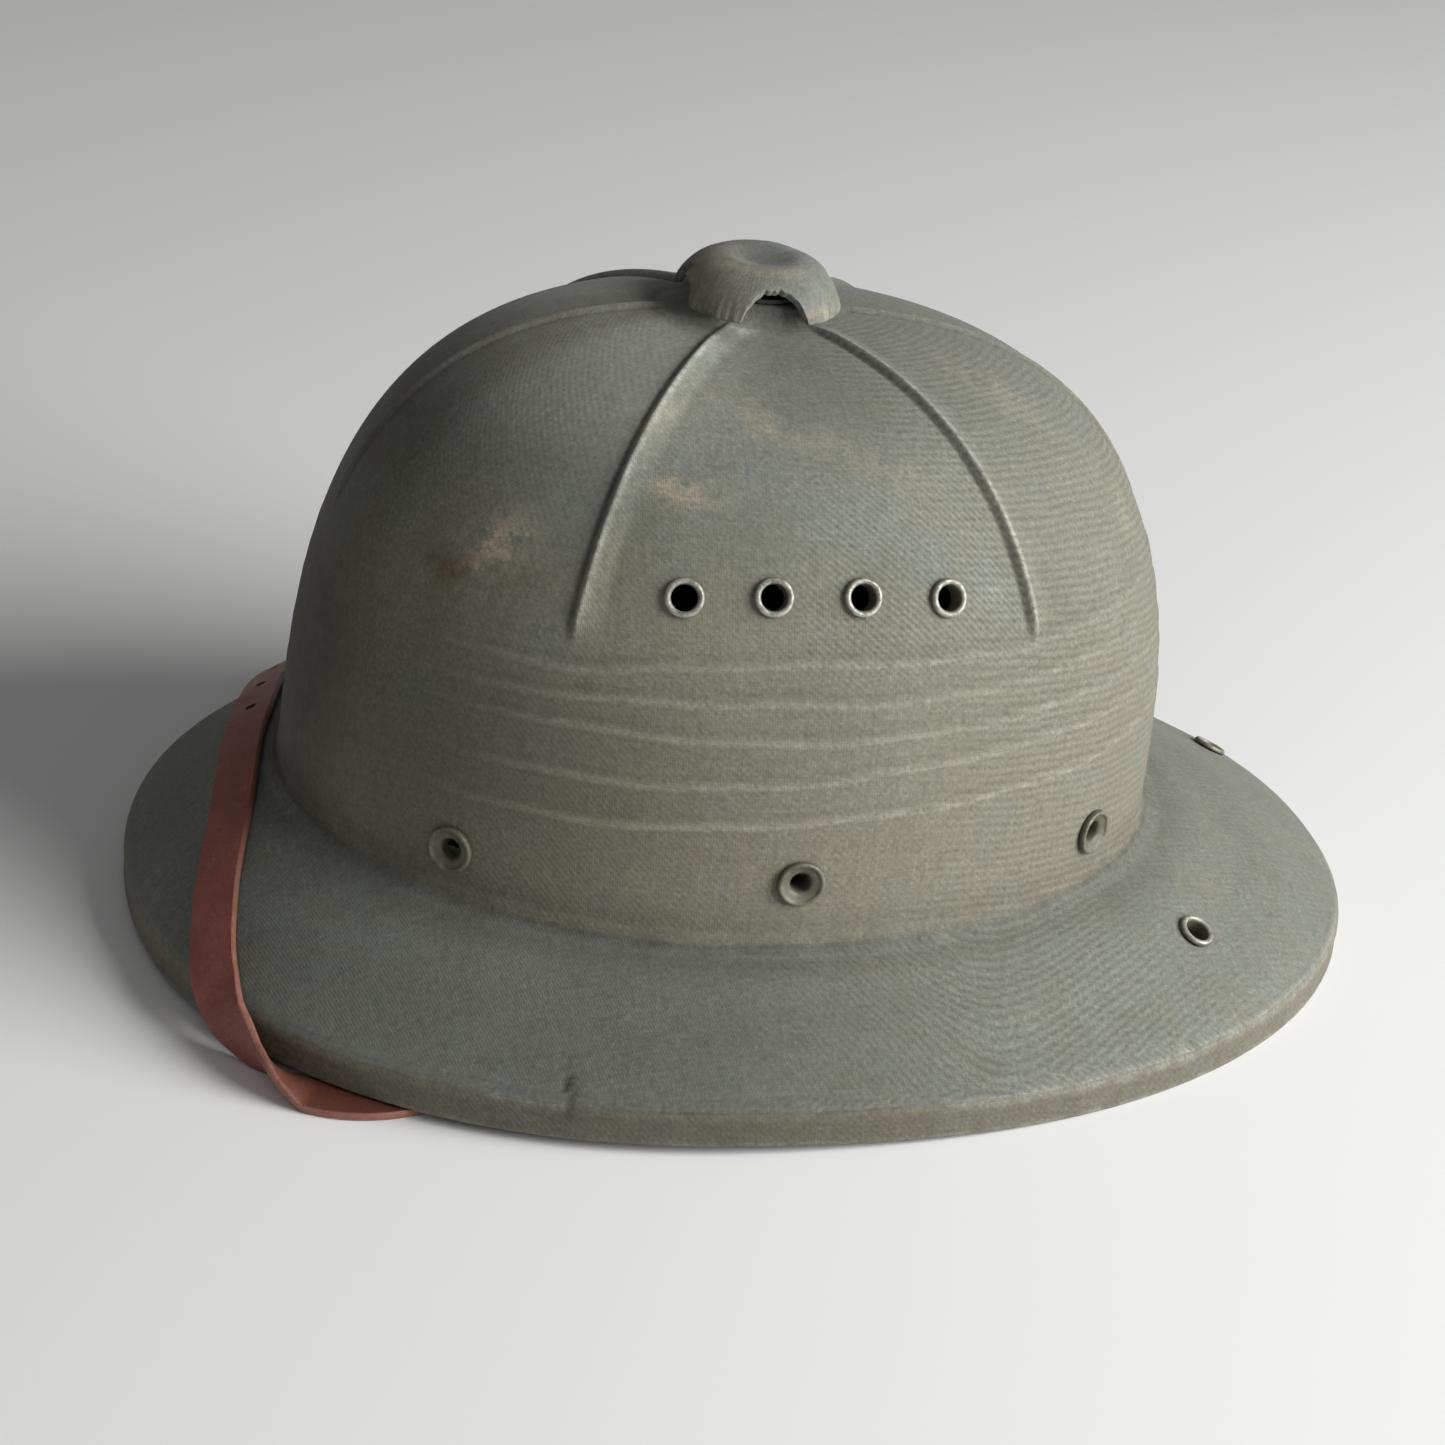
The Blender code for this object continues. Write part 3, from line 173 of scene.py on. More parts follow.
def brim_width(angle):
    return np.linalg.norm((brim(angle, 1.0) - brim(angle, 0.0))[..., :2], axis=-1)


def slope_normal(surface, angle, other, step=1e-3):
    across = surface(angle + step, other) - surface(angle - step, other)
    up = surface(angle, other + step) - surface(angle, other - step)
    return unit(np.cross(across, up))


def crown_normal(angle, latitude):
    return slope_normal(crown, angle, latitude)


def brim_normal(angle, reach):
    normal = slope_normal(brim, angle, reach)
    return normal * np.where(normal[..., 2:] > 0, 1, -1)


# Meshes

CORNERS = ((0, 0), (0, 1), (1, 1), (1, 0))


def mesh_object(name, points, faces, ends=()):
    """A smooth mesh of equal faces, and of end faces with more corners."""
    mesh = bpy.data.meshes.new(name)
    corners = [*np.asarray(faces).tolist(), *ends]
    mesh.from_pydata(np.asarray(points).reshape(-1, 3).tolist(), [], corners, shade_flat=False)
    mesh.validate()
    item = bpy.data.objects.new(name, mesh)
    bpy.context.scene.collection.objects.link(item)
    return item


def grid_faces(rows, columns, closed=False):
    """Faces between rings of points, and from the last ring to the first if they close."""
    j, i = np.indices((rows if closed else rows - 1, columns)).reshape(2, -1)
    return stack(*[(j + dj) % rows * columns + (i + di) % columns for dj, di in CORNERS])


def grid_uv(u, v):
    """Thread coordinates of each face corner of a grid, from lengths along both its directions."""
    j, i = np.indices((len(v) - 1, len(u) - 1)).reshape(2, -1)
    return np.stack([stack(u[i + di], v[j + dj]) for dj, di in CORNERS], 1)


def set_uv(item, corners):
    layer = item.data.uv_layers.new(name="weave")
    layer.uv.foreach_set("vector", np.ascontiguousarray(corners, np.float32).ravel())


def set_attributes(item, **attributes):
    """Numbers from 0 to 1 at each vertex, for the materials. Only the painted light and shade may pass 1."""
    for name, values in attributes.items():
        limit = 2 if name == "tone" else 1
        attribute = item.data.attributes.new(name, "FLOAT", "POINT")
        attribute.data.foreach_set("value", np.clip(values, 0, limit).astype(np.float32).ravel())


def dress(item, material, nodes=(), body="helmet"):
    item.data.materials.clear()
    item.data.materials.append(material)
    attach(item, body)
    if nodes:
        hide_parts(*nodes)


def carve(item, cutters):
    """Cut shapes out of a mesh and drop the shapes."""
    for cutter in cutters:
        modifier = item.modifiers.new(cutter.name, "BOOLEAN")
        modifier.object = cutter
        modifier.solver = "EXACT"
    depsgraph = bpy.context.evaluated_depsgraph_get()
    mesh = bpy.data.meshes.new_from_object(item.evaluated_get(depsgraph))
    item.modifiers.clear()
    item.data = mesh
    mesh.shade_smooth()
    mesh.set_sharp_from_angle(angle=math.radians(45))
    for cutter in cutters:
        bpy.data.objects.remove(cutter)


def placed(x, y, z, place):
    """A matrix with the given axes, at a place."""
    matrix = Matrix((x, y, z)).transposed().to_4x4()
    matrix.translation = Vector(place)
    return matrix


def along_matrix(x, out, place):
    """Local X in one direction, and Z as near to another as it can be."""
    z = (out - out.dot(x) * x).normalized()
    return placed(x, z.cross(x), z, place)


def moved(points, matrix):
    return points @ np.array(matrix.to_3x3()).T + np.array(matrix.translation)


def lathe(name, profile, steps, matrix):
    """Turn a closed profile of (radius, height) points about the matrix's Z."""
    radius, height = np.array(profile, float).T[:, :, None]
    points = stack(radius * np.cos(turns(steps)), radius * np.sin(turns(steps)), height)
    return mesh_object(name, moved(points, matrix), grid_faces(len(profile), steps, True)[:, ::-1])


def prism(name, ring, low, high, matrix):
    """A cutter with a flat outline, from low to high along the matrix's Z."""
    count = len(ring)
    points = moved(np.array([stack(*ring.T, low), stack(*ring.T, high)]), matrix)
    ends = [list(range(count))[::-1], list(range(count, 2 * count))]
    return mesh_object(name, points, grid_faces(2, count), ends)


def pin(name, radius, half, matrix):
    """A round cutter along the matrix's Z."""
    turn = turns(36)
    return prism(name, stack(radius * np.cos(turn), radius * np.sin(turn)), -half, half, matrix)


def slot_cutter(name, length, width, depth, x, z):
    """A round-ended slot along the buckle's X, cut along its Z."""
    turn = np.radians([*np.linspace(-90, 90, 9), *np.linspace(90, 270, 9)])
    shift = np.repeat((1, -1), 9) * (length - width) / 2
    ring = stack(x + shift + width / 2 * np.cos(turn), width / 2 * np.sin(turn))
    return prism(name, ring, z - depth / 2, z + depth / 2, BUCKLE)


# Materials

MIX_A, MIX_B, MIX_OUT = 6, 7, 2  # a Mix node's colour sockets


class Shader:
    """Short names for the nodes that the materials are made of."""

    def __init__(self, name):
        self.material = bpy.data.materials.new(name)
        self.material.use_nodes = True
        self.tree = self.material.node_tree
        self.place = self.node("TexCoord", output="Object")

    def put(self, socket, value):
        if isinstance(value, bpy.types.NodeSocket):
            self.tree.links.new(value, socket)
        elif isinstance(value, tuple) and socket.type == "RGBA":
            socket.default_value = (*value, 1)
        else:
            socket.default_value = value

    def node(self, kind, inputs=(), output=0, **settings):
        """The output of a new node, with its inputs by name or number."""
        item = self.tree.nodes.new("ShaderNode" + kind)
        for key, value in settings.items():
            setattr(item, key, value)
        for key, value in dict(inputs).items():
            self.put(item.inputs[key], value)
        return item.outputs[output]

    def set(self, **values):
        for key, value in values.items():
            self.put(self.tree.nodes["Principled BSDF"].inputs[key.replace("_", " ")], value)

    def math(self, operation, *values):
        """Join values one after the other."""
        result = values[0]
        for value in values[1:]:
            result = self.node("Math", {0: result, 1: value}, operation=operation)
        return result

    def add(self, *values):
        return self.math("ADD", *values)

    def times(self, *values):
        return self.math("MULTIPLY", *values)

    def noise(self, vector, scale, detail=3, roughness=0.55):
        inputs = {"Vector": vector, "Scale": scale, "Detail": detail, "Roughness": roughness}
        return self.node("TexNoise", inputs, "Fac")

    def stretch(self, vector, scale):
        return self.node("Mapping", {"Vector": vector, "Scale": Vector(scale)})

    def span(self, value, low, high, to_low=0.0, to_high=1.0):
        inputs = {"Value": value, "From Min": low, "From Max": high, "To Min": to_low, "To Max": to_high}
        return self.node("MapRange", inputs, interpolation_type="SMOOTHSTEP")

    def patches(self, scale, detail, roughness, *limits):
        """Noise over the object's own space, spread between limits."""
        return self.span(self.noise(self.place, scale, detail, roughness), *limits)

    def mix(self, factor, a, b, blend="MIX"):
        inputs = {"Factor": factor, MIX_A: a, MIX_B: b}
        return self.node("Mix", inputs, MIX_OUT, data_type="RGBA", blend_type=blend)

    def shade(self, colour, factor):
        """Multiply a colour by a plain number."""
        grey = self.node("CombineColor", {0: factor, 1: factor, 2: factor})
        return self.mix(1.0, colour, grey, "MULTIPLY")

    def attribute(self, name):
        return self.node("Attribute", output="Fac", attribute_name=name)

    def bump(self, height, distance, strength=1.0, **below):
        return self.node("Bump", {"Height": height, "Distance": distance, "Strength": strength, **below})

    def threads(self):
        uv = self.node("UVMap", uv_map="weave")
        return uv, self.node("SeparateXYZ", {0: uv}, 0), self.node("SeparateXYZ", {0: uv}, 1)

    def weave(self, period):
        """Threads of a plain weave: height from 0 to 1, and streaks along both thread directions."""
        uv, u, v = self.threads()
        su = self.math("SINE", self.times(u, math.pi / period), 0)
        sv = self.math("SINE", self.times(v, math.pi / period), 0)
        over = self.span(self.times(su, sv), -0.25, 0.25)
        warp, weft = self.math("ABSOLUTE", su, 0), self.math("ABSOLUTE", sv, 0)
        height = self.add(self.times(warp, over), self.times(weft, self.math("SUBTRACT", 1.0, over)))
        long_way = self.noise(self.stretch(uv, (1 / period, 0.06 / period, 1)), 0.9, 2)
        cross_way = self.noise(self.stretch(uv, (0.06 / period, 1 / period, 1)), 0.9, 2)
        return height, self.times(self.add(long_way, cross_way), 0.5)

    def ribs(self, across, along, period, wander):
        """Waves from -1 to 1 across a direction in thread coordinates, unsettled by noise."""
        uv, u, v = self.threads()
        run = self.add(self.times(u, across), self.times(v, along), self.attribute("curl"))
        drift = self.times(self.noise(uv, 45, 3, 0.6), wander * 2 * math.pi)
        return self.math("SINE", self.add(self.times(run, 2 * math.pi / period), drift), 0)


def cloth_material(name):
    """Painted canvas: clouds of colour, threads, twill, dust, rubbed edges, bare patches, dirt, and painted
    light: warm and cool tints, highlights, shade in creases.
    """
    s = Shader(name)
    height, streaks = s.weave(0.56 * MM)
    clouds, fine = s.noise(s.place, 15, 4, 0.6), s.noise(s.place, 950, 3, 0.7)
    threads = s.span(s.add(height, fine), 0.6, 1.4, 0.55, 1.0)
    upright = s.noise(s.stretch(s.place, (1, 1, 1.6)), 120, 7, 0.72)
    # The warm and cool tints are painted light. The wear layer carries painted highlights with the wear, and
    # the darkest layer carries painted shade with the dirt.
    layers = (
        (s.span(clouds, 0.36, 0.64), OLIVE_LIGHT),
        (s.times(s.attribute("warm"), s.span(clouds, 0.25, 0.6, 0.65, 1.0)), OLIVE_WARM),
        (s.times(s.attribute("blue"), s.patches(85, 5, 0.65, 0.3, 0.6, 0.25, 1.0)), OLIVE_BLUE),
        (s.patches(62, 5, 0.7, 0.42, 0.75, 0.0, 0.45), OLIVE_BLUE),
        (s.patches(38, 5, 0.7, 0.5, 0.78, 0.0, 0.4), OLIVE_WARM),
        (s.times(s.span(fine, 0.5, 0.72), s.patches(24, 4, 0.6, 0.35, 0.7, 0.05, 0.3)), TAN),
        (s.times(s.attribute("wear"), s.patches(170, 6, 0.75, 0.32, 0.66, 0.15, 1.0), threads),
         s.mix(s.attribute("blue"), PALE, PALE_BLUE)),
        (s.times(s.attribute("bare"), s.span(upright, 0.36, 0.6), threads), TAN_BARE),
        (s.times(s.attribute("stain"), s.patches(95, 6, 0.7, 0.35, 0.6)), BROWN),
        (s.times(s.attribute("dirt"), s.patches(75, 5, 0.7, 0.3, 0.7, 0.45, 1.0)), GRIME),
        (s.attribute("inside"), s.mix(s.patches(45, 5, 0.6, 0.35, 0.7), LINING, LINING_DARK)))
    colour = OLIVE
    for share, tint in layers:
        colour = s.mix(share, colour, tint)
    twill = s.ribs(0.74, 0.67, 1.3 * MM, 0.9)
    ripple = s.times(s.ribs(0.16, 1.0, 2.3 * MM, 1.3), s.attribute("ripple"))
    lined = s.add(0.02, s.times(s.attribute("twill"), 0.13))
    shade = s.add(s.span(height, 0.0, 1.0, 0.96, 1.03), s.span(streaks, 0.3, 0.7, -0.11, 0.11),
                  s.times(twill, lined), s.times(ripple, 0.11), s.span(fine, 0.25, 0.75, -0.16, 0.16),
                  s.patches(420, 3, 0.6, 0.3, 0.7, -0.06, 0.06))
    unevenness = s.bump(s.noise(s.place, 115, 4, 0.6), 0.30 * MM, 0.4)
    relief = s.add(height, streaks, s.times(twill, 0.35), fine)
    # The colour is then multiplied by the painted light and shade.
    s.set(Base_Color=s.shade(colour, s.times(shade, s.attribute("tone"))),
          Roughness=s.span(streaks, 0.2, 0.8, 0.74, 0.92), Specular_IOR_Level=0.28,
          Sheen_Weight=0.10, Sheen_Roughness=0.5, Normal=s.bump(relief, 0.045 * MM, 0.7, Normal=unevenness))
    return s.material


def leather_material(name, grain, flesh, cut_edge, gloss, scale=1.0):
    """Grain side, fuzzy flesh side and raw cut edges, with creases, scuffs and darker handled spots."""
    s = Shader(name)
    blotch = s.noise(s.place, 70 * scale, 5, 0.65)
    top = s.mix(s.span(blotch, 0.3, 0.7), grain[0], grain[1])
    top = s.mix(s.patches(190 * scale, 6, 0.7, 0.5, 0.76, 0.0, 0.7), top, grain[2])
    creases = s.node("TexVoronoi", {"Vector": s.place, "Scale": 620 * scale}, "Distance",
                     feature="DISTANCE_TO_EDGE")
    crack = s.span(creases, 0.0, 0.09, 1.0, 0.0)
    top = s.mix(s.times(crack, 0.35), top, grain[3])
    under = s.mix(s.noise(s.place, 420 * scale, 5, 0.8), *flesh)
    raw = s.mix(s.noise(s.place, 300 * scale, 5, 0.8), *cut_edge)
    colour = s.mix(s.attribute("grain"), under, top)
    colour = s.mix(s.times(s.attribute("edge"), s.span(blotch, 0.25, 0.6, 0.6, 1.0)), colour, raw)
    pores = s.math("SUBTRACT", s.noise(s.place, 1300 * scale, 3, 0.7), s.times(crack, 0.6))
    s.set(Base_Color=colour, Roughness=s.span(blotch, 0.3, 0.7, gloss, gloss + 0.2), Specular_IOR_Level=0.4,
          Normal=s.bump(pores, 0.12 * MM, 0.5, Normal=s.bump(blotch, 0.5 * MM, 0.35)))
    return s.material


def metal_material(name, paint, bare, metallic, roughness, rub=0.5):
    """Metal with paint or tarnish, rubbed where the wear attribute is high. On the metal pieces it holds wear
    only.
    """
    s = Shader(name)
    patina = s.noise(s.place, 240, 5, 0.65)
    bright = s.times(s.attribute("wear"), s.patches(520, 5, 0.75, 0.5 - 0.4 * rub, 0.72))
    s.set(Base_Color=s.mix(bright, s.mix(s.span(patina, 0.35, 0.68), *paint), bare),
          Metallic=s.math("MAXIMUM", metallic, s.times(bright, 0.6)),
          Roughness=s.span(patina, 0.3, 0.7, roughness - 0.08, roughness + 0.14),
          Normal=s.bump(s.noise(s.place, 700, 4, 0.7), 0.05 * MM, 0.4))
    return s.material


def webbing_material(name, light, dark):
    s = Shader(name)
    height, streaks = s.weave(1.1 * MM)
    shade = s.add(s.span(height, 0, 1, 0.62, 1.12), s.span(streaks, 0.3, 0.7, -0.15, 0.15))
    s.set(Base_Color=s.shade(s.mix(s.patches(60, 4, 0.6, 0.35, 0.7), light, dark), shade),
          Roughness=0.9, Sheen_Weight=0.2, Normal=s.bump(height, 0.35 * MM, 0.9))
    return s.material


def thread_material(name):
    s = Shader(name)
    s.set(Base_Color=s.mix(s.noise(s.place, 900), (0.50, 0.42, 0.28), (0.34, 0.27, 0.17)),
          Roughness=0.8, Normal=s.bump(s.noise(s.place, 2500), 0.05 * MM, 0.8))
    return s.material


OLIVE, OLIVE_LIGHT = (0.136, 0.139, 0.108), (0.168, 0.168, 0.130)
OLIVE_WARM, OLIVE_BLUE = (0.172, 0.160, 0.118), (0.152, 0.165, 0.150)
TAN, TAN_BARE = (0.26, 0.25, 0.20), (0.38, 0.325, 0.235)
PALE, PALE_BLUE = (0.365, 0.36, 0.305), (0.31, 0.33, 0.31)
BROWN, GRIME = (0.10, 0.074, 0.046), (0.036, 0.034, 0.025)
LINING, LINING_DARK = (0.075, 0.10, 0.060), (0.045, 0.055, 0.035)
CLOTH = cloth_material("cover_cloth")
STRAP_HIDE = leather_material(
    "strap_hide", ((0.225, 0.068, 0.056), (0.285, 0.09, 0.074), (0.32, 0.125, 0.095), (0.08, 0.024, 0.018)),
    ((0.17, 0.056, 0.036), (0.075, 0.028, 0.018)), ((0.36, 0.165, 0.115), (0.14, 0.055, 0.042)), 0.42)
BAND_HIDE = leather_material(
    "band_hide", ((0.20, 0.105, 0.048), (0.26, 0.145, 0.07), (0.14, 0.07, 0.035), (0.08, 0.04, 0.02)),
    ((0.33, 0.22, 0.13), (0.25, 0.16, 0.09)), ((0.36, 0.24, 0.14), (0.26, 0.16, 0.09)), 0.45, 0.7)
PAINT = metal_material(
    "eyelet_paint", ((0.105, 0.10, 0.07), (0.14, 0.135, 0.10)), (0.46, 0.45, 0.40), 0.2, 0.42)
RIVET_PAINT = metal_material(
    "rivet_paint", ((0.085, 0.079, 0.054), (0.118, 0.110, 0.078)), (0.22, 0.21, 0.165), 0.1, 0.5, 0.2)
# Near-black paint for the vent's collar: painted shade, so that it reads as the dark hollow under the cap.
DARK_PAINT = metal_material(
    "vent_paint", ((0.03, 0.03, 0.022), (0.045, 0.043, 0.032)), (0.10, 0.10, 0.08), 0.2, 0.55, 0.2)
BRASS = metal_material(
    "aged_brass", ((0.30, 0.215, 0.09), (0.20, 0.14, 0.065)), (0.62, 0.47, 0.22), 0.9, 0.38)
STEEL = metal_material("dull_steel", ((0.30, 0.30, 0.29), (0.20, 0.195, 0.185)), (0.5, 0.5, 0.48), 0.9, 0.4)
WEB = webbing_material("band_webbing", (0.34, 0.285, 0.18), (0.27, 0.225, 0.14))
THREAD = thread_material("linen_thread")


# Shell

PER_PANEL = 96
NEXT_BEADS = np.append(BEADS[1:], 2 * math.pi)


def shell_angles():
    """Columns round the shell, closer together beside the beads."""
    t = np.arange(PER_PANEL) * 2 / PER_PANEL - 1
    middle, half = (BEADS + NEXT_BEADS) / 2, (NEXT_BEADS - BEADS) / 2
    return (middle[:, None] + half[:, None] * (0.22 * t + 0.78 * (1.5 * t - 0.5 * t ** 3))).ravel()


ANGLES = shell_angles()
COLUMNS = len(ANGLES)
PANEL_MIDDLE = np.repeat((BEADS + NEXT_BEADS) / 2, PER_PANEL)
ROUND = np.append(ANGLES, 2 * math.pi)
DEGREES = np.degrees(ANGLES)
OFF_FRONT = np.where(DEGREES > 180, 360 - DEGREES, DEGREES)
FOLD_PLACES = (0, 40, 58, 70, 85, 106, 119, 133, 150, 180)
FOLD_LEVELS = (
    (66.0, 66.0, 67.0, 70.4, 72.8, 73.0, 73.1, 73.8, 74.6, 75.0),
    (57.0, 58.0, 60.2, 62.0, 63.8, 64.3, 64.7, 65.2, 65.8, 66.4),
    (50.8, 51.6, 53.3, 54.0, 54.9, 55.5, 55.9, 56.3, 57.0, 57.6),
    (38.6, 39.6, 41.2, 42.2, 43.9, 47.0, 48.4, 49.0, 49.8, 50.4),
    (28.0, 29.0, 30.4, 31.6, 33.4, 35.9, 37.7, 38.6, 39.8, 40.6))
FOLD_DEPTHS = (9.0, 9.0, 9.0, 9.0, 13.0)
WAVER_START = (0.4, 1.9, 3.1, 4.4, 5.6)


def fold_level(k):
    """Height of one fold's upper edge at each column."""
    places = np.arange(0, 181)
    levels = np.pad(np.interp(places, FOLD_PLACES, FOLD_LEVELS[k]), 6, "edge")
    curve = np.convolve(levels, np.ones(13) / 13, "valid")
    waver = 0.45 * np.sin(ANGLES * 5 + WAVER_START[k]) + 0.25 * np.sin(ANGLES * 17 + k)
    return (np.interp(OFF_FRONT, places, curve) + waver) * MM


FOLDS = [fold_level(k) for k in range(len(FOLD_LEVELS))]
FOLD_STRENGTH = 0.12 + 0.88 * smoothstep(34, 62, OFF_FRONT) * (1 - 0.75 * smoothstep(125, 162, OFF_FRONT))


def bead_away():
    """Signed angle from each column to its nearest bead, positive towards the rear."""
    away = (ANGLES[:, None] - BEADS[None, :] + math.pi) % (2 * math.pi) - math.pi
    nearest = np.abs(away).argmin(1)
    signed = away[np.arange(COLUMNS), nearest]
    return np.where(BEADS[nearest] > math.pi, -signed, signed), (BEADS[nearest] % math.pi) < 0.01


BEAD_AWAY, END_BEAD = bead_away()


def from_axis(points):
    return np.hypot(points[..., 0] - CROWN_X - TOP_SHIFT, points[..., 1])


def crown_relief(latitude):
    """Beads, folds and slight unevenness of one ring of the crown, with its wear and painted highlights, its
    dirt and painted shade.
    """
    points = crown(ANGLES, latitude)
    level = CROWN_RISE * math.sin(latitude) ** (2 / RISE_POWER)
    radius = from_axis(points)
    s = BEAD_AWAY * radius / MM
    foot = np.where(END_BEAD, 73, 70.5) * MM
    rising = smoothstep(0, 9 * MM, level - foot) * (0.45 + 0.55 * smoothstep(19 * MM, 27 * MM, radius))
    ridge = 1.25 * plateau(-1.15, 0.35, 0.4, 6.0, s) + 0.38 * hump(s, 0.55, 1.0) - 0.12 * hump(s, -1.6, 0.6)
    plain = 1.05 * np.maximum(1 - (s / 2.3) ** 2, 0) ** 1.2
    relief = np.where(END_BEAD, plain, ridge) * rising * MM
    # Pale wear and a painted highlight along each bead's crest. Painted shade in the hollow along its steep
    # side, and along both feet of the front and rear beads.
    wear = np.where(END_BEAD, 0.3 * hump(s, 0, 0.8), 0.95 * hump(s, 0.75, 0.75)) * rising
    dirt = np.where(END_BEAD, 0.4 * hump(np.abs(s), 2.5, 0.8), 0.75 * hump(s, -1.15, 0.62)) * rising
    for top, depth in zip(FOLDS, FOLD_DEPTHS):
        below = (top - level) / MM
        lap = 0.62 * plateau(-0.7, 1.1, 1.2, depth, below) + 0.34 * hump(below, 0.9, 0.95)
        relief += lap * FOLD_STRENGTH * MM
        # A painted highlight on each fold's edge, and painted shade in the hollow just above it.
        wear += 0.40 * FOLD_STRENGTH * hump(below, 0.75, 0.7)
        dirt += 0.16 * FOLD_STRENGTH * hump(below, -1.7, 1.2)
    wear += 1.2 * hump(radius, 15 * MM, 4.5 * MM) * hump(DEGREES, 71, 12)
    # Painted shadow close round the cap's foot, on the front side.
    shade = smoothstep(0.2, 0.95, np.cos(ANGLES - math.radians(10)))
    dirt += 0.9 * shade * (1 - smoothstep(20 * MM, 27 * MM, radius))
    return points + crown_normal(ANGLES, latitude) * relief[:, None], wear, dirt


class Rings:
    """Rings of points in order, with the wear and painted highlight, the dirt and painted shade, and the side
    of each point.
    """

    def __init__(self):
        self.points, self.marks = [], []
        self.crown_start = self.brim_start = 0

    def add(self, points, wear=0.0, dirt=0.0, inside=0.0):
        self.points.append(points)
        self.marks.append(stack(wear + 0 * points[:, 0], dirt, inside))


def rim_rings(rings):
    """The rim band from its inner lower edge up and over, with its wear, tears and pinch marks, and painted
    shade along its underside and in the pinch's crease.
    """
    x, y = rim_plan(ANGLES)
    low = rim_low(ANGLES)
    edge = stack(CROWN_X + x, y, low)
    ix, iy = rim_plan(ANGLES, SHELL_WALL)
    inner = stack(CROWN_X + ix, iy, low)
    up = np.array([0, 0, 1.0])
    out = stack(x, y, 0) / np.hypot(x, y)[:, None]
    ragged = 0.12 * MM * np.sin(ANGLES * 63) * np.sin(ANGLES * 11 + 1)
    # Painted shade under the rim, fading up its outer face.
    rings.add(inner, 0.0, 0.5)
    rings.add(inner + (edge - inner) * 0.7, 0.5, 0.3)
    for share in (0.0, 0.5, 1.0):
        rings.add(bend(inner + (edge - inner) * 0.8, edge, edge + 0.7 * MM * up, share), 0.7, 0.15)
    for share in np.linspace(0.18, 0.64, 7):
        swell = ragged - 0.18 * MM * math.sin(math.pi * share)
        torn = 0.8 * hump(DEGREES, 70.4 - share, 0.26) * smoothstep(0.25, 0.5, share)
        rings.add(edge + RIM_BAND * share * up + out * swell[:, None], 0.10, 0.12 + torn)
    crease = 0.55 * MM * hump(DEGREES, 124.6, 0.55) + 0.35 * MM * hump(DEGREES, 121.9, 0.4)
    below = edge + (RIM_BAND - 2.3 * MM) * up
    corner = edge + (RIM_BAND + 0.2 * MM) * up
    above = brim(ANGLES, 1 - 2.5 * MM / brim_width(ANGLES))
    pale = 0.18 + 0.6 * plateau(92, 112, 150, 180, DEGREES)
    for share in np.linspace(0, 1, 9):
        ring = bend(below, corner, above, share) - up * (crease * hump(share, 0.5, 0.4))[:, None]
        thread = 2 * plateau(61.5, 62.2, 68.6, 69.2, DEGREES) * hump(share, 0.5, 0.09)
        wear = pale * hump(share, 0.45, 0.3) + 0.4 * hump(DEGREES, 124.0, 1.6) + thread
        # Painted shade in the pinch's crease. Dark at the tear.
        rings.add(ring, wear, 0.5 * hump(DEGREES, 125.2, 0.4) + hump(DEGREES, 69.4, 0.26))
    rings.brim_start = len(rings.points)


def brim_rings(rings):
    """The brim from the rim to the crown's foot, with slight waves and a tear."""
    for share in np.linspace(1, 0, 54):
        reach = 0.12 + (0.88 - 3.3 * MM / brim_width(ANGLES)) * share
        sag = 0.35 * MM * np.sin(5 * ANGLES + 9 * share) * math.sin(math.pi * share)
        tear_at = 68.6 + (reach - 0.85) * 5 + 0.25 * np.sin(60 * reach)
        tear = hump(DEGREES, tear_at, 0.24) * hump(reach, 0.9, 0.1)
        # Painted shade where the brim runs into the crown. The tear is dark as well.
        rings.add(brim(ANGLES, reach) + brim_normal(ANGLES, reach) * (sag - 0.6 * MM * tear)[:, None],
                  0.10 * hump(share, 1.0, 0.06), 0.30 * hump(share, 0.0, 0.13) + 1.3 * tear)
    foot, wall = brim(ANGLES, 0.11), crown(ANGLES, latitude_at(4.5 * MM))
    for share in np.linspace(0, 1, 8)[1:-1]:
        # The fillet into the crown, painted in shade along its middle.
        rings.add(bend(foot, crown(ANGLES, 0.0), wall, share), 0.1, 0.55 * hump(share, 0.5, 0.4))
    rings.crown_start = len(rings.points) - 3


# The vent's seat: share of the way in and rise in mm, then radius and height of the hole's edge in mm
SEAT_RISE = ((0.2, 0.15), (0.4, 0.5), (0.6, 1.1), (0.75, 1.9), (0.87, 3.0), (0.95, 4.0), (1.0, 4.7))
HOLE_EDGE = ((13.4, 5.0), (12.5, 5.0), (12.0, 4.7), (12.0, 1.0), (12.0, -2.6))


def top_ring(radius, height):
    """A circle round the vent, in millimetres from the crown's top."""
    x, y = radius * MM * np.cos(ANGLES), radius * MM * np.sin(ANGLES)
    return lean(TOP_SHIFT + x, y, CROWN_RISE + height * MM)


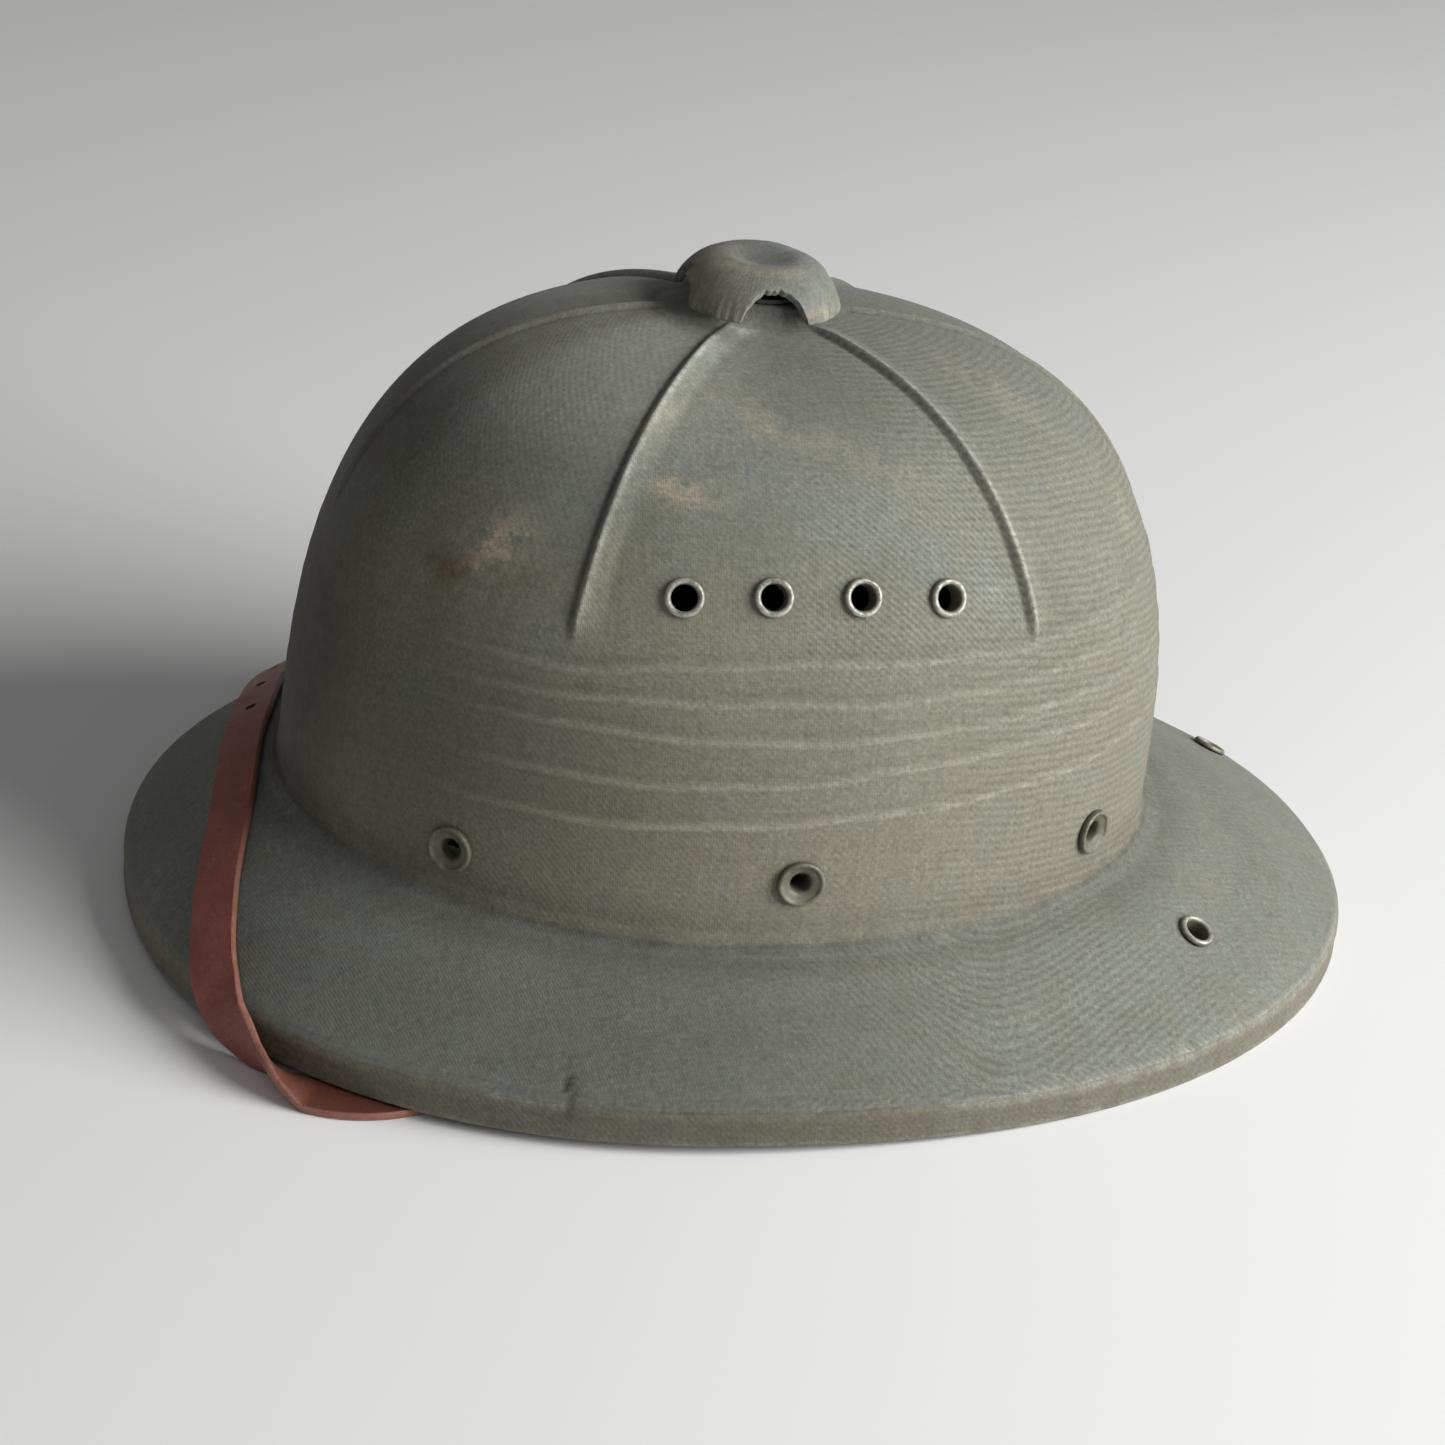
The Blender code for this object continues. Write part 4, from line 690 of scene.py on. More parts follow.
def crown_rings(rings):
    """The crown from its foot to its top, the vent's raised seat and the hole in it."""
    for level in np.arange(4.5, 76, 0.75) * MM:
        points, wear, dirt = crown_relief(latitude_at(level))
        # Painted shade at the crown's foot.
        rings.add(points, wear, dirt + 0.3 * hump(level, 4 * MM, 5 * MM))
    for latitude in np.linspace(latitude_at(76.4 * MM), math.radians(83.2), 76):
        rings.add(*crown_relief(latitude))
    last, foot = rings.points[-1], top_ring(14.0, 0)
    up = lean(0.0, 0.0, 1.0) - lean(0.0, 0.0, 0.0)
    # The vent's seat under the cap is painted darker as it rises, and its hole's edge is painted in shade.
    for share, rise in SEAT_RISE:
        rings.add(last + (foot - last) * share + up * rise * MM, 0.0, 0.12 + 0.1 * rise)
    for radius, height in HOLE_EDGE:
        rings.add(top_ring(radius, height), 0.0, 0.6, 1.0 if height < 0 else 0.0)


def inner_rings(rings):
    """The shell's inside, from the vent down to the rim."""
    for latitude in np.linspace(math.radians(85.4), latitude_at(4 * MM, SHELL_WALL), 54):
        rings.add(crown(ANGLES, latitude, SHELL_WALL), 0, 0.1, 1)
    for reach in np.linspace(0.12, 0.88, 20):
        rings.add(brim(ANGLES, reach) - brim_normal(ANGLES, reach) * SHELL_WALL, 0, 0.1, 1)
    x, y = rim_plan(ANGLES, SHELL_WALL)
    for share in (1.0, 0.9, 0.5, 0.1):
        rings.add(stack(CROWN_X + x, y, rim_low(ANGLES) + (RIM_BAND - SHELL_WALL) * share), 0, 0.2, 1)


def weave_corners(points, rings):
    """Thread coordinates of each face corner: flat cloth on the brim, one gore to each crown panel."""
    rows, base = len(points), points[rings.crown_start]
    run, arc, radius = run_along(points), run_along(np.append(base, base[:1], 0)), from_axis(points)
    start = np.interp(PANEL_MIDDLE, ROUND, arc)
    j, i = np.indices((rows, COLUMNS))
    on_rim, on_brim_cloth = j < rings.brim_start, j < rings.crown_start
    out = []
    for dj, di in CORNERS:
        row, column = (j + dj) % rows, (i + di) % COLUMNS
        ring = points[row, column]
        gore = start + (ROUND[i + di] - PANEL_MIDDLE) * radius[row, column]
        u = np.where(on_rim, arc[i + di] * 1.4, np.where(on_brim_cloth, ring[..., 0], gore))
        v = np.where(on_brim_cloth & ~on_rim, ring[..., 1], run[np.minimum(j + dj, rows - 1)])
        out.append(stack(u, v))
    return np.stack(out, 2).reshape(-1, 4, 2)


def seat_on_crown(angle, height):
    latitude = latitude_at(height * MM)
    return crown(np.array(angle), latitude), crown_normal(np.array(angle), latitude)


def metal_seats():
    """Where each eyelet and rivet sits, and which way it faces."""
    seats = {}
    for side, sign in SIDES:
        for k in range(4):
            turn = 2 * k / 3 - 1
            angle, height = SIDE_MIDDLE + turn * EYELET_SPREAD, EYELET_HEIGHT - EYELET_DROP * turn * turn
            seats[f"{side}_vent_eyelet_{k + 1}"] = seat_on_crown(sign * angle, height)
        for place, turn, height in RIVET_PLACES:
            seats[f"{side}_{place}_rivet"] = seat_on_crown(sign * (SIDE_MIDDLE + math.radians(turn)), height)
    for side, degrees, reach in BRIM_EYELETS:
        place = np.array(math.radians(degrees))
        seats[f"{side}_brim_eyelet"] = (brim(place, reach), brim_normal(place, reach))
    return seats


SEATS = metal_seats()
RIVET_HOLE, EYELET_HOLE, HOLE_DEPTH = 3.6 * MM, 4.1 * MM, 6 * MM


def clear_of_holes(points, faces):
    """Which faces stay: those clear of the eyelets' barrels."""
    middles = points[faces].mean(1)
    keep = np.ones(len(faces), bool)
    for name, (seat, normal) in SEATS.items():
        away = middles - seat
        along = away @ normal
        out = np.linalg.norm(away - along[:, None] * normal, axis=-1)
        hole = RIVET_HOLE if "rivet" in name else EYELET_HOLE
        keep &= ~((out < hole) & (np.abs(along) < HOLE_DEPTH))
    return keep


# Rubbed, stained and faded places on the crown: degrees round, height in mm, half sizes in mm, tilt, strength
BARE = (
    (42, 90, 8.5, 6.5, 0.5, 0.95), (39.5, 86, 6, 3, 0.9, 0.7), (69.3, 107.1, 6.5, 2.2, 0, 0.8),
    (64.5, 108.5, 3, 1.6, 0, 0.45), (85.7, 118.6, 11, 3, -0.25, 0.38), (104, 112, 9, 2.5, -0.5, 0.28),
    (149.4, 119, 10, 8, 0, 0.34), (155.6, 88, 8, 12, 0, 0.22), (118, 84, 5, 2, 0.4, 0.25),
    (60, 121, 9, 3, 0.2, 0.20), (228, 96, 12, 6, 0.2, 0.5), (280, 108, 10, 4, 0, 0.4),
    (205, 70, 9, 5, 0.4, 0.3), (330, 80, 10, 6, 0.3, 0.4))
STAIN = (
    (36, 82, 8, 5, 0.3, 0.75), (31, 88, 7, 10, 0.1, 0.45), (47, 84, 6, 3, 0.2, 0.4),
    (250, 60, 9, 5, 0, 0.4), (20, 60, 14, 20, 0, 0.25), (34, 70, 12, 10, 0, 0.25))
FADED = (
    (96.4, 103, 14, 7, 0.2, 0.8), (108, 94.2, 12, 6, -0.4, 0.9), (118.1, 83.6, 6, 9, 0, 0.8),
    (75, 112, 10, 6, 0, 0.6), (48, 100, 14, 10, 0.3, 0.5), (160, 110, 16, 9, 0, 0.5),
    (300, 95, 18, 9, 0.1, 0.7), (215, 110, 16, 9, 0.1, 0.6))


def spots(table, angle, level, radius):
    """How strongly each point lies in the places of a table."""
    total = np.zeros_like(angle)
    for degrees, height, wide, high, tilt, strength in table:
        across = ((angle - math.radians(degrees) + math.pi) % (2 * math.pi) - math.pi) * radius / MM
        up = level / MM - height
        a = across * math.cos(tilt) + up * math.sin(tilt)
        b = up * math.cos(tilt) - across * math.sin(tilt)
        total += strength * np.exp(-(a / wide) ** 2 - (b / high) ** 2)
    return np.clip(total, 0, 1)


# Where the brim's ripples turn, and how sharply
CURL_X, CURL_SIZE = -34 * MM, 18 * MM


def mark_shell(item, points, rings):
    """The numbers that its cloth reads at each vertex of the shell."""
    rows = len(points)
    row = np.repeat(np.arange(rows), COLUMNS)
    angle, degrees, aside = np.tile(ANGLES, rows), np.tile(DEGREES, rows), np.tile(OFF_FRONT, rows)
    flat = points.reshape(-1, 3)
    level, radius = flat[:, 2] - JUNCTION_HEIGHT, from_axis(flat)
    wear, dirt, inside = np.array(rings.marks).reshape(-1, 3).T

    def by_part(on_crown, on_brim, on_rim):
        above = np.where(row >= rings.crown_start, on_crown, on_brim)
        return np.where(row < rings.brim_start - 4, on_rim, above)

    front, high = 1 - smoothstep(30, 105, aside), smoothstep(104 * MM, 122 * MM, level)
    # Painted light tints: a warm tint low on the crown, towards its rear and over the whole rim band, and a
    # cool tint at the crown's top and over the brim, as cool light from above and warm light from below. The
    # faded places add real fading to the cool tint.
    warm = 0.85 * smoothstep(95 * MM, 30 * MM, level) + 0.35 * plateau(100, 150, 230, 270, degrees)
    blue = 0.55 * smoothstep(95 * MM, 120 * MM, level) + spots(FADED, angle, level, radius)
    ripple = by_part(plateau(96, 124, 165, 190, degrees), plateau(76, 104, 124, 149, degrees), 0.2)
    curl = CURL_SIZE * (np.hypot(1, (flat[:, 0] - CURL_X) / CURL_SIZE) - 1)
    twill = plateau(80, 98, 118, 126, degrees) * plateau(60 * MM, 80 * MM, 100 * MM, 118 * MM, level)
    stain = spots(STAIN, angle, level, radius) + 0.35 * (1 - smoothstep(10, 26, aside))
    # Painted light and shade, multiplied into the cloth's colour: a painted shadow on the crown's lower front
    # half, the front painted darker, the top painted lighter towards the front and darker at its sides and
    # rear, the rear a little darker; the brim painted darker at the front and most round 77 degrees on the
    # left, the rim band darker again, more so towards the rear.
    shadow = (0.16 + 0.14 * smoothstep(15 * MM, 40 * MM, level)) * (1 - smoothstep(45 * MM, 85 * MM, level))
    top = high * (0.36 - 0.50 * smoothstep(58, 92, aside) + 0.08 * smoothstep(105, 125, aside))
    ahead, behind = 0.30 * (1 - smoothstep(10, 30, aside)), 0.06 * smoothstep(110, 135, aside)
    tone = 1 - shadow * front - ahead + top - behind
    brim_tone = 1 - 0.06 * front - 0.32 * hump(degrees, 77, 25)
    rim_tone = brim_tone * (0.90 - 0.07 * smoothstep(95, 130, aside))
    set_attributes(item, wear=wear, dirt=dirt, inside=inside, warm=by_part(warm, 0.10, 1.0),
                   blue=by_part(blue, 0.62, 0), ripple=ripple, curl=by_part(0, curl, 0),
                   twill=by_part(twill, 0.1, 0.1), tone=by_part(tone, brim_tone, rim_tone),
                   bare=by_part(spots(BARE, angle, level, radius), 0, 0), stain=by_part(stain, 0, 0.16))


def make_shell():
    rings = Rings()
    for add_rings in (rim_rings, brim_rings, crown_rings, inner_rings):
        add_rings(rings)
    points = np.array(rings.points)
    faces = grid_faces(len(points), COLUMNS, True)
    keep = clear_of_holes(points.reshape(-1, 3), faces)
    item = mesh_object("shell_cover", points, faces[keep])
    set_uv(item, weave_corners(points, rings)[keep])
    mark_shell(item, points, rings)
    dress(item, CLOTH, ["fibre_shell"])


make_shell()


# Vent cap. Its outside is a table of heights and radii, as shares of the whole.

CAP_OUTER = (
    (0.0, 0.985), (0.08, 1.0), (0.23, 0.975), (0.38, 0.94), (0.53, 0.885), (0.68, 0.81),
    (0.81, 0.725), (0.92, 0.62), (0.985, 0.51), (1.0, 0.41), (0.965, 0.3), (0.905, 0.16), (0.885, 0.0))
CAP_COLUMNS = 384
CAP_ANGLES = turns(CAP_COLUMNS)


def notch_edge(angle):
    """Height of the cap's lower edge: four arches, front, rear, left and right."""
    nearest = (angle + math.pi / 4) % (math.pi / 2) - math.pi / 4
    x = np.abs(CAP_RADIUS * np.sin(nearest)) / NOTCH_HALF
    return NOTCH_HEIGHT * (1 - 0.3 * hump(angle, 0, 0.6)) * np.maximum(1 - np.minimum(x, 1) ** 3.2, 0) ** 0.72


def cap_rings(rings):
    """Outside, rolled lip and inside of the cap, as (radius, height)."""
    curve = catmull([(across * CAP_RADIUS, up * CAP_HEIGHT) for up, across in CAP_OUTER], 12)
    run = run_along(curve) / run_along(curve)[-1]
    slope = unit(np.gradient(curve, axis=0))
    inner = curve - CAP_WALL * stack(slope[:, 1], -slope[:, 0])
    low = notch_edge(CAP_ANGLES)
    ragged = 0.25 * MM * np.sin(CAP_ANGLES * 41) * np.sin(CAP_ANGLES * 13 + 2) * smoothstep(0, 2 * MM, low)
    rising = curve[:, 1].argmax()
    start = np.interp(np.maximum(low + ragged, 0) + 0.5 * MM, curve[:rising, 1], run[:rising])

    def section(place, layer):
        return stack(np.maximum(np.interp(place, run, layer[:, 0]), 0), np.interp(place, run, layer[:, 1]))

    for share in np.linspace(1, 0, 60) ** 0.9:
        place = start + (1 - start) * share
        # A painted highlight: a pale band high on the cap, on the side towards the camera, added to the wear.
        # The dish at the top is darker.
        lit = 0.45 * hump(place, 0.74, 0.06) * smoothstep(0.2, 1.0, np.cos(CAP_ANGLES - 1.1))
        wear = 0.45 * np.exp(-(place - start) / 0.05) + lit
        rings.add(section(place, curve), wear, 0.25 * hump(place, 0.92, 0.09))
    middle, half = (section(start, curve) + section(start, inner)) / 2, section(start, curve)
    half = half - middle
    for turn in np.linspace(0.15, 0.85, 5) * math.pi:
        drop = np.array([0, 0.5 * MM * math.sin(turn)])
        rings.add(middle + half * math.cos(turn) - drop, 0.5, 0.3)
    for share in np.linspace(0, 1, 26) ** 1.1:
        rings.add(section(start + (1 - start) * share, inner), 0, 0.5, 1)


def make_cap():
    rings = Rings()
    cap_rings(rings)
    radius, height = np.moveaxis(np.array(rings.points), -1, 0)
    height = np.maximum(height, 0)
    c, s = np.cos(CAP_ANGLES), np.sin(CAP_ANGLES)
    ring = stack(c, s, 0) * CAP_RADIUS
    pleat = 0.42 * MM * wave_noise(ring, 1.6 * MM, 11) + 0.25 * MM * wave_noise(ring, 4.3 * MM, 13)
    pleat = pleat * hump(height, 0, 4.2 * MM) * np.clip(radius / CAP_RADIUS, 0, 1)
    x, y = (radius + pleat) * c, (radius + pleat) * s
    dent = 0.25 * MM * wave_noise(stack(x, y, height)[:, ::4], 9 * MM, 5).repeat(4, axis=1)
    points = lean(TOP_SHIFT + x, y, CAP_BASE + height + dent * smoothstep(2 * MM, 6 * MM, height))
    item = mesh_object("cap_cover", points, grid_faces(len(points), CAP_COLUMNS))
    set_uv(item, grid_uv(turns(CAP_COLUMNS, 1) * CAP_RADIUS, run_along(points)))
    x, y, height = (x / CAP_RADIUS).ravel(), (y / CAP_RADIUS).ravel(), height.ravel()
    out = np.hypot(x, y)
    wear, dirt, inside = np.array(rings.marks).reshape(-1, 3).T
    bare = 0.5 * hump(out, 0.56, 0.12) * smoothstep(0.0, 0.5, y + 0.4 * x)
    bare += 0.55 * hump(height, 2 * MM, 2 * MM) * hump(x, -0.5, 0.3)
    # Painted light and shade on the cap: painted shade in the pleats' hollows, a warm tint towards the front
    # and a cool tint towards the rear, darker across its middle and lighter towards the rear.
    set_attributes(item, wear=wear, dirt=dirt + 1.6 * np.maximum(-pleat, 0).ravel() / MM, inside=inside,
                   warm=0.35 + 0.7 * x, blue=0.75 - 0.9 * x, bare=bare, ripple=0 * x, twill=0 * x,
                   tone=1.0 - 0.10 * hump(x, 0.1, 0.3) + 0.04 * smoothstep(0.1, 0.8, -x),
                   stain=0.28 * smoothstep(0.2, 0.9, x) * smoothstep(0.5, 0.9, out))
    dress(item, CLOTH, ["vent_cap"], "cap")


make_cap()


# Eyelets and rivets. Sections are (radius, height) in millimetres, and a stack is what the metal holds.

METAL_STEPS = 72
METAL_LIFT = 0.3
MIDDLE_STACK, RIVET_STACK, VENT_STACK, BRIM_STACK = 6.2, 5.3, 3.7, 4.5


def upright_matrix(point, normal):
    """Local Z along the normal and X as near to straight up as it can be."""
    z = Vector(normal).normalized()
    x = (Vector((0, 0, 1)) - z.z * z).normalized()
    return placed(x, z.cross(x), z, point)


def arc_points(middle, size, start, end, count):
    turn = np.radians(np.linspace(start, end, count))
    return list(zip(middle[0] + size[0] * np.cos(turn), middle[1] + size[1] * np.sin(turn)))


def eyelet_section(deep):
    """A rolled flange, a barrel and the flare that is clenched inside."""
    roll = arc_points((4.05, 0.30), (0.85, 0.92), 180, 0, 15)
    flare = [(3.9, 0.0), (4.15, 0.05), (4.2, 0.35), (4.15, 0.65), (3.6, 0.7), (3.2, 0.6), (3.2, 0.0)]
    return roll + [(4.86, 0.06), (4.7, 0.0), (3.9, 0.0)] + [(out, -deep - down) for out, down in flare] + [
        (3.2, -1.0)]


def rivet_section(deep):
    """A raised outer lip round a shallow dish that runs into the bore."""
    lip = arc_points((5.35, 0.85), (0.62, 0.62), 160, -20, 11)
    return [(2.6, -1.2), (2.62, -0.3), (2.8, 0.12), (3.2, 0.42), (3.8, 0.66), (4.4, 0.86)] + lip + [
        (5.98, 0.2), (5.9, 0.0), (3.4, 0.0), (3.4, -deep), (5.0, -deep), (5.2, -deep - 0.4),
        (5.0, -deep - 0.8), (2.9, -deep - 0.8), (2.6, -deep - 0.6), (2.6, -deep)]


def make_metal():
    for name, (seat, normal) in SEATS.items():
        if "rivet" in name:
            section, paint = rivet_section(MIDDLE_STACK if "middle" in name else RIVET_STACK), RIVET_PAINT
        else:
            section, paint = eyelet_section(VENT_STACK if "vent" in name else BRIM_STACK), PAINT
        profile = [(radius * MM, (height + METAL_LIFT) * MM) for radius, height in section]
        item = lathe(name + "_cover", profile, METAL_STEPS, upright_matrix(seat, normal))
        crest = np.array(section)[:, 1]
        set_attributes(item, wear=np.repeat(0.15 + 0.85 * smoothstep(0.55, 1.2, crest), METAL_STEPS))
        dress(item, paint, [name])


make_metal()


# Bands, with heights and insets in millimetres

BAND_BOTTOM, BAND_HEIGHT, BAND_THICKNESS = -2.0, 34.0, 1.6
BAND_TOP = BAND_BOTTOM + BAND_HEIGHT
BAND_COLUMNS = 360
AIR_GAP = 9 * MM
MEAN_RADIUS = 95 * MM
LEATHER_NEAR, LEATHER_FAR, LEATHER_ABOVE = BAND_THICKNESS + 2.4, BAND_THICKNESS + 3.7, 3.0
STITCHES, STITCH_LENGTH, STITCH_INSET = 150, 0.72, 5.3


def band_point(angle, height, inset):
    c, s = np.cos(angle), np.sin(angle)
    length = np.where(c > 0, CROWN_FRONT, CROWN_REAR)
    off = SHELL_WALL + AIR_GAP + inset * MM
    return lean((length - off) * c, (CROWN_SIDE - off) * s, height * MM)


def leather_sway(angle, inset, height):
    """Slight waves of the free inner leather, none along the fold at its foot."""
    free = np.clip((height - 4) / 26, 0, 1) if inset > 3.5 else 0
    return free * (0.45 * np.sin(9 * angle + 1) + 0.3 * np.sin(17 * angle + height / 9))


def band_ring(name, section, sway, material, slot, node, **grain):
    """A closed band with a section of (inset, height) points, and a share of the leather's waves."""
    angle = turns(BAND_COLUMNS)
    points = np.array([band_point(angle, height, inset + sway * leather_sway(angle, inset, height))
                       for inset, height in section + section[:1]])
    item = mesh_object(name, points[:-1], grid_faces(len(section), BAND_COLUMNS, True)[:, ::-1])
    set_uv(item, grid_uv(turns(BAND_COLUMNS, 1) * MEAN_RADIUS, run_along(points))[:, ::-1])
    for key, values in grain.items():
        set_attributes(item, **{key: np.repeat(values, BAND_COLUMNS)})
    dress(item, material, [node])


def make_bands():
    low, high, thick = BAND_BOTTOM, BAND_TOP, BAND_THICKNESS
    web = [(0, low + 0.3), (0, high - 0.3), (0.3, high), (thick - 0.3, high), (thick, high - 0.3),
           (thick, low + 0.3), (thick - 0.3, low), (0.3, low)]
    band_ring("headband_cover", web, 0, WEB, "webbing", "headband")
    floor, top = low - 0.3, high + LEATHER_ABOVE
    near, far = LEATHER_NEAR, LEATHER_FAR
    foot = [(-1.6, low + 5.5), (-1.6, floor + 0.2), (-1.2, floor - 0.7), (-0.4, floor - 1.2),
            (0.4, floor - 1.3), (near - 0.4, floor - 1.3), (near + 0.5, floor - 1.1), (near + 1.1, floor - 0.5)]
    face = [(far, height) for height in np.linspace(floor + 0.3, top - 0.5, 12)]
    back = [(near, height) for height in np.linspace(top - 0.5, floor + 0.5, 12)]
    lap = [(near - 0.5, floor), (0.2, floor), (-0.3, floor + 0.4), (-0.3, low + 5.6), (-0.6, low + 6),
           (-1.3, low + 6)]
    section = foot + face + [(far - 0.3, top), (near + 0.3, top)] + back + lap
    grain = [1.0] * 20 + [0.6] * 2 + [0.0] * 18
    edge = [0.0] * 19 + [0.4, 1.0, 1.0] + [0.0] * 16 + [1.0] * 2
    band_ring("sweatband_cover", section, 1, BAND_HIDE, "band_leather", "sweatband", grain=grain, edge=edge)


def make_stitches():
    """Two rows of lockstitch seen on the sweatband's inner face."""
    share, turn = np.meshgrid(np.linspace(0, 1, 6), turns(6), indexing="ij")
    bulge = 0.22 * np.sin(math.pi * share)
    size = 0.34 * np.sin(math.pi * (0.12 + 0.76 * share))
    points, faces = [], []
    for height in (1.6, BAND_TOP - 0.5):
        for k in range(STITCHES):
            angle = (k + 0.5 + (share - 0.5) * STITCH_LENGTH) * 2 * math.pi / STITCHES
            inset = STITCH_INSET + leather_sway(angle, STITCH_INSET, height) + bulge + size * np.cos(turn)
            faces.append(grid_faces(6, 6) + share.size * len(points))
            points.append(band_point(angle, height + size * np.sin(turn), inset))
    item = mesh_object("sweatband_stitches", points, np.concatenate(faces))
    dress(item, THREAD)


make_bands()
make_stitches()


# Ribbons

STEPS, ACROSS = 8, 9


def strap_section(width, thickness):
    """Points round a strap's section, and how much each is grain side and cut edge."""
    run = np.linspace(-0.94, 0.94, ACROSS)
    corner = [(0.985, 0.72), (1.0, 0.25), (1.0, -0.25), (0.985, -0.72)]
    top = [(a, 1.0, 1.0, 0.0) for a in run]
    right = [(a, b, 0.4, 1.0) for a, b in corner]
    under = [(-a, -1.0, 0.0, 0.0) for a in run]
    left = [(-a, -b, 0.4, 1.0) for a, b in corner]
    return np.array(top + right + under + left) * (width / 2, thickness / 2, 1, 1)


def smooth_route(stations):
    """Points and normals along a smooth curve through stations of (point, normal)."""
    points = catmull([point for point, normal in stations], STEPS)
    at = np.linspace(0, len(stations) - 1, len(points))
    table = np.array([normal for point, normal in stations])
    normals = stack(*[np.interp(at, np.arange(len(stations)), column) for column in table.T])
    return points, unit(normals)


def end_faces(rows, columns):
    return [list(range(columns)), list(range((rows - 1) * columns, rows * columns))[::-1]]


def ribbon(name, route, width, thickness, seed=1, floor=False, cup=0.0):
    """A strap along a route of points and normals, its grain side on the normals' side."""
    points, normals = route
    along = unit(np.gradient(points, axis=0))
    out = unit(normals - (normals * along).sum(-1, keepdims=True) * along)
    side = np.cross(along, out)
    section = strap_section(width, thickness)
    lift = section[:, 1] + cup * (1 - (section[:, 0] / (width / 2)) ** 2)
    body = points[:, None] + side[:, None] * section[None, :, :1] + out[:, None] * lift[None, :, None]
    ripple = 0.12 * MM * wave_noise(points, 11 * MM, seed)
    body += out[:, None] * np.maximum(ripple, 0)[:, None, None]
    if floor:
        body[..., 2] -= np.minimum(body[..., 2].min(1), 0)[:, None]
    rows, columns = body.shape[:2]
    item = mesh_object(name, body, grid_faces(rows, columns), end_faces(rows, columns))
    set_attributes(item, grain=np.tile(section[:, 2], rows), edge=np.tile(section[:, 3], rows))
    return item


def ribbon_uv(item):
    """Places across the helmet and up it as a ribbon's thread coordinates."""
    set_uv(item, [item.data.vertices[loop.vertex_index].co.yz for loop in item.data.loops])


# Chin strap. On the brim: degrees, share of its reach, and stand-off as a share of the width. Off the brim:
# degrees, share of the reach, height as a share of the rim's top, tilt of the grain side in degrees.
LEFT_BRIM = (
    (0, 0.255, 0.03), (3.6, 0.295, 0.02), (7, 0.35, 0), (10.2, 0.42, 0), (13, 0.49, 0), (15.8, 0.57, 0),
    (18.4, 0.648, 0), (21, 0.73, 0), (23.4, 0.81, 0), (25.8, 0.885, 0.02), (28.2, 0.955, 0.03))
LEFT_RIM = (
    (31.5, 1.055, 0.92, 66), (35, 1.09, 0.68, 92), (38.5, 1.12, 0.42, 122), (41.6, 1.13, 0.20, 152),
    (44.6, 1.11, 0.10, 180), (47.8, 1.05, 0.10, 180), (50.6, 0.94, 0.10, 180), (52.8, 0.79, 0.10, 180),
    (54.8, 0.63, 0.10, 180), (57.2, 0.49, 0.12, 182), (60.4, 0.39, 0.25, 190), (64.4, 0.31, 0.60, 199),
    (69, 0.23, 1.10, 208), (74, 0.14, 1.70, 218), (79, 0.03, 2.35, 230))
RIGHT_BRIM = (
    (5, 0.225, 0.04), (10, 0.215, 0.04), (15, 0.22, 0.04), (20, 0.245, 0.03), (25, 0.295, 0.03),
    (30, 0.37, 0.03), (35, 0.46, 0.04), (39.5, 0.555, 0.05), (43.5, 0.655, 0.06), (47, 0.765, 0.07),
    (50, 0.87, 0.08), (52.5, 0.96, 0.08))
RIGHT_RIM = (
    (55.2, 1.05, 1.00, 65), (57.8, 1.11, 0.72, 94), (60.3, 1.15, 0.42, 126), (62.5, 1.15, 0.18, 158),
    (64.7, 1.06, 0.10, 180), (66.8, 0.93, 0.10, 180), (68.6, 0.80, 0.11, 182))
WIRE, PRONG, CORNER, BUCKLE_LENGTH = 1.0 * MM, 0.8 * MM, 1.5 * MM, 12.0 * MM
TONGUE_TAIL, FOLD_BACK = 21.0 * MM, 9.5 * MM
SLOT_LENGTH = 8.6 * MM
HOLES, HOLE_RADIUS, FIRST_HOLE, HOLE_STEP = 5, 1.6 * MM, 38 * MM, 20 * MM
RIVET_PIN, RIVET_PIN_HALF = 3.7 * MM, 8 * MM
KEEPER_AT, KEEPER_LENGTH, KEEPER_WALL = 13.5 * MM, 5.5 * MM, 1.2 * MM
LOOP_RADIUS = WIRE + GAP + STRAP_THICKNESS / 2
HEEL_DROP = STRAP_THICKNESS + GAP + LOOP_RADIUS
BUCKLE_TILT = math.asin((HEEL_DROP + STRAP_THICKNESS / 2 + GAP + WIRE) / BUCKLE_LENGTH)


def tilted(sign, angle, turn):
    """A direction that leans from straight up out over the rim."""
    x, y = rim_plan(angle)
    x2, y2 = rim_plan(angle + 1e-3)
    rim_out = Vector((float(y2 - y), float(x - x2), 0)).normalized()
    normal = Vector((0, 0, math.cos(turn))) + rim_out * math.sin(turn)
    normal.y *= sign
    return np.array(normal)


def on_brim(sign, degrees, reach, stand):
    angle = np.array(sign * math.radians(degrees))
    normal = brim_normal(angle, reach)
    return brim(angle, reach) + normal * (STRAP_THICKNESS / 2 + GAP + stand * STRAP_WIDTH), normal


def off_brim(sign, degrees, reach, height, tilt):
    angle = math.radians(degrees)
    point = brim(np.array(sign * angle), reach)
    point[2] = height * float(rim_low(angle) + RIM_BAND)
    return point, tilted(sign, angle, math.radians(tilt))


def run_start():
    """Inside the rim, with room for the buckle beside it."""
    degrees, room = 70.5, SHELL_WALL + 4.0 * MM + STRAP_WIDTH / 2 + GAP + CORNER + WIRE
    return off_brim(-1, degrees, 1 - room / brim_width(math.radians(degrees)), 0.3, 195)


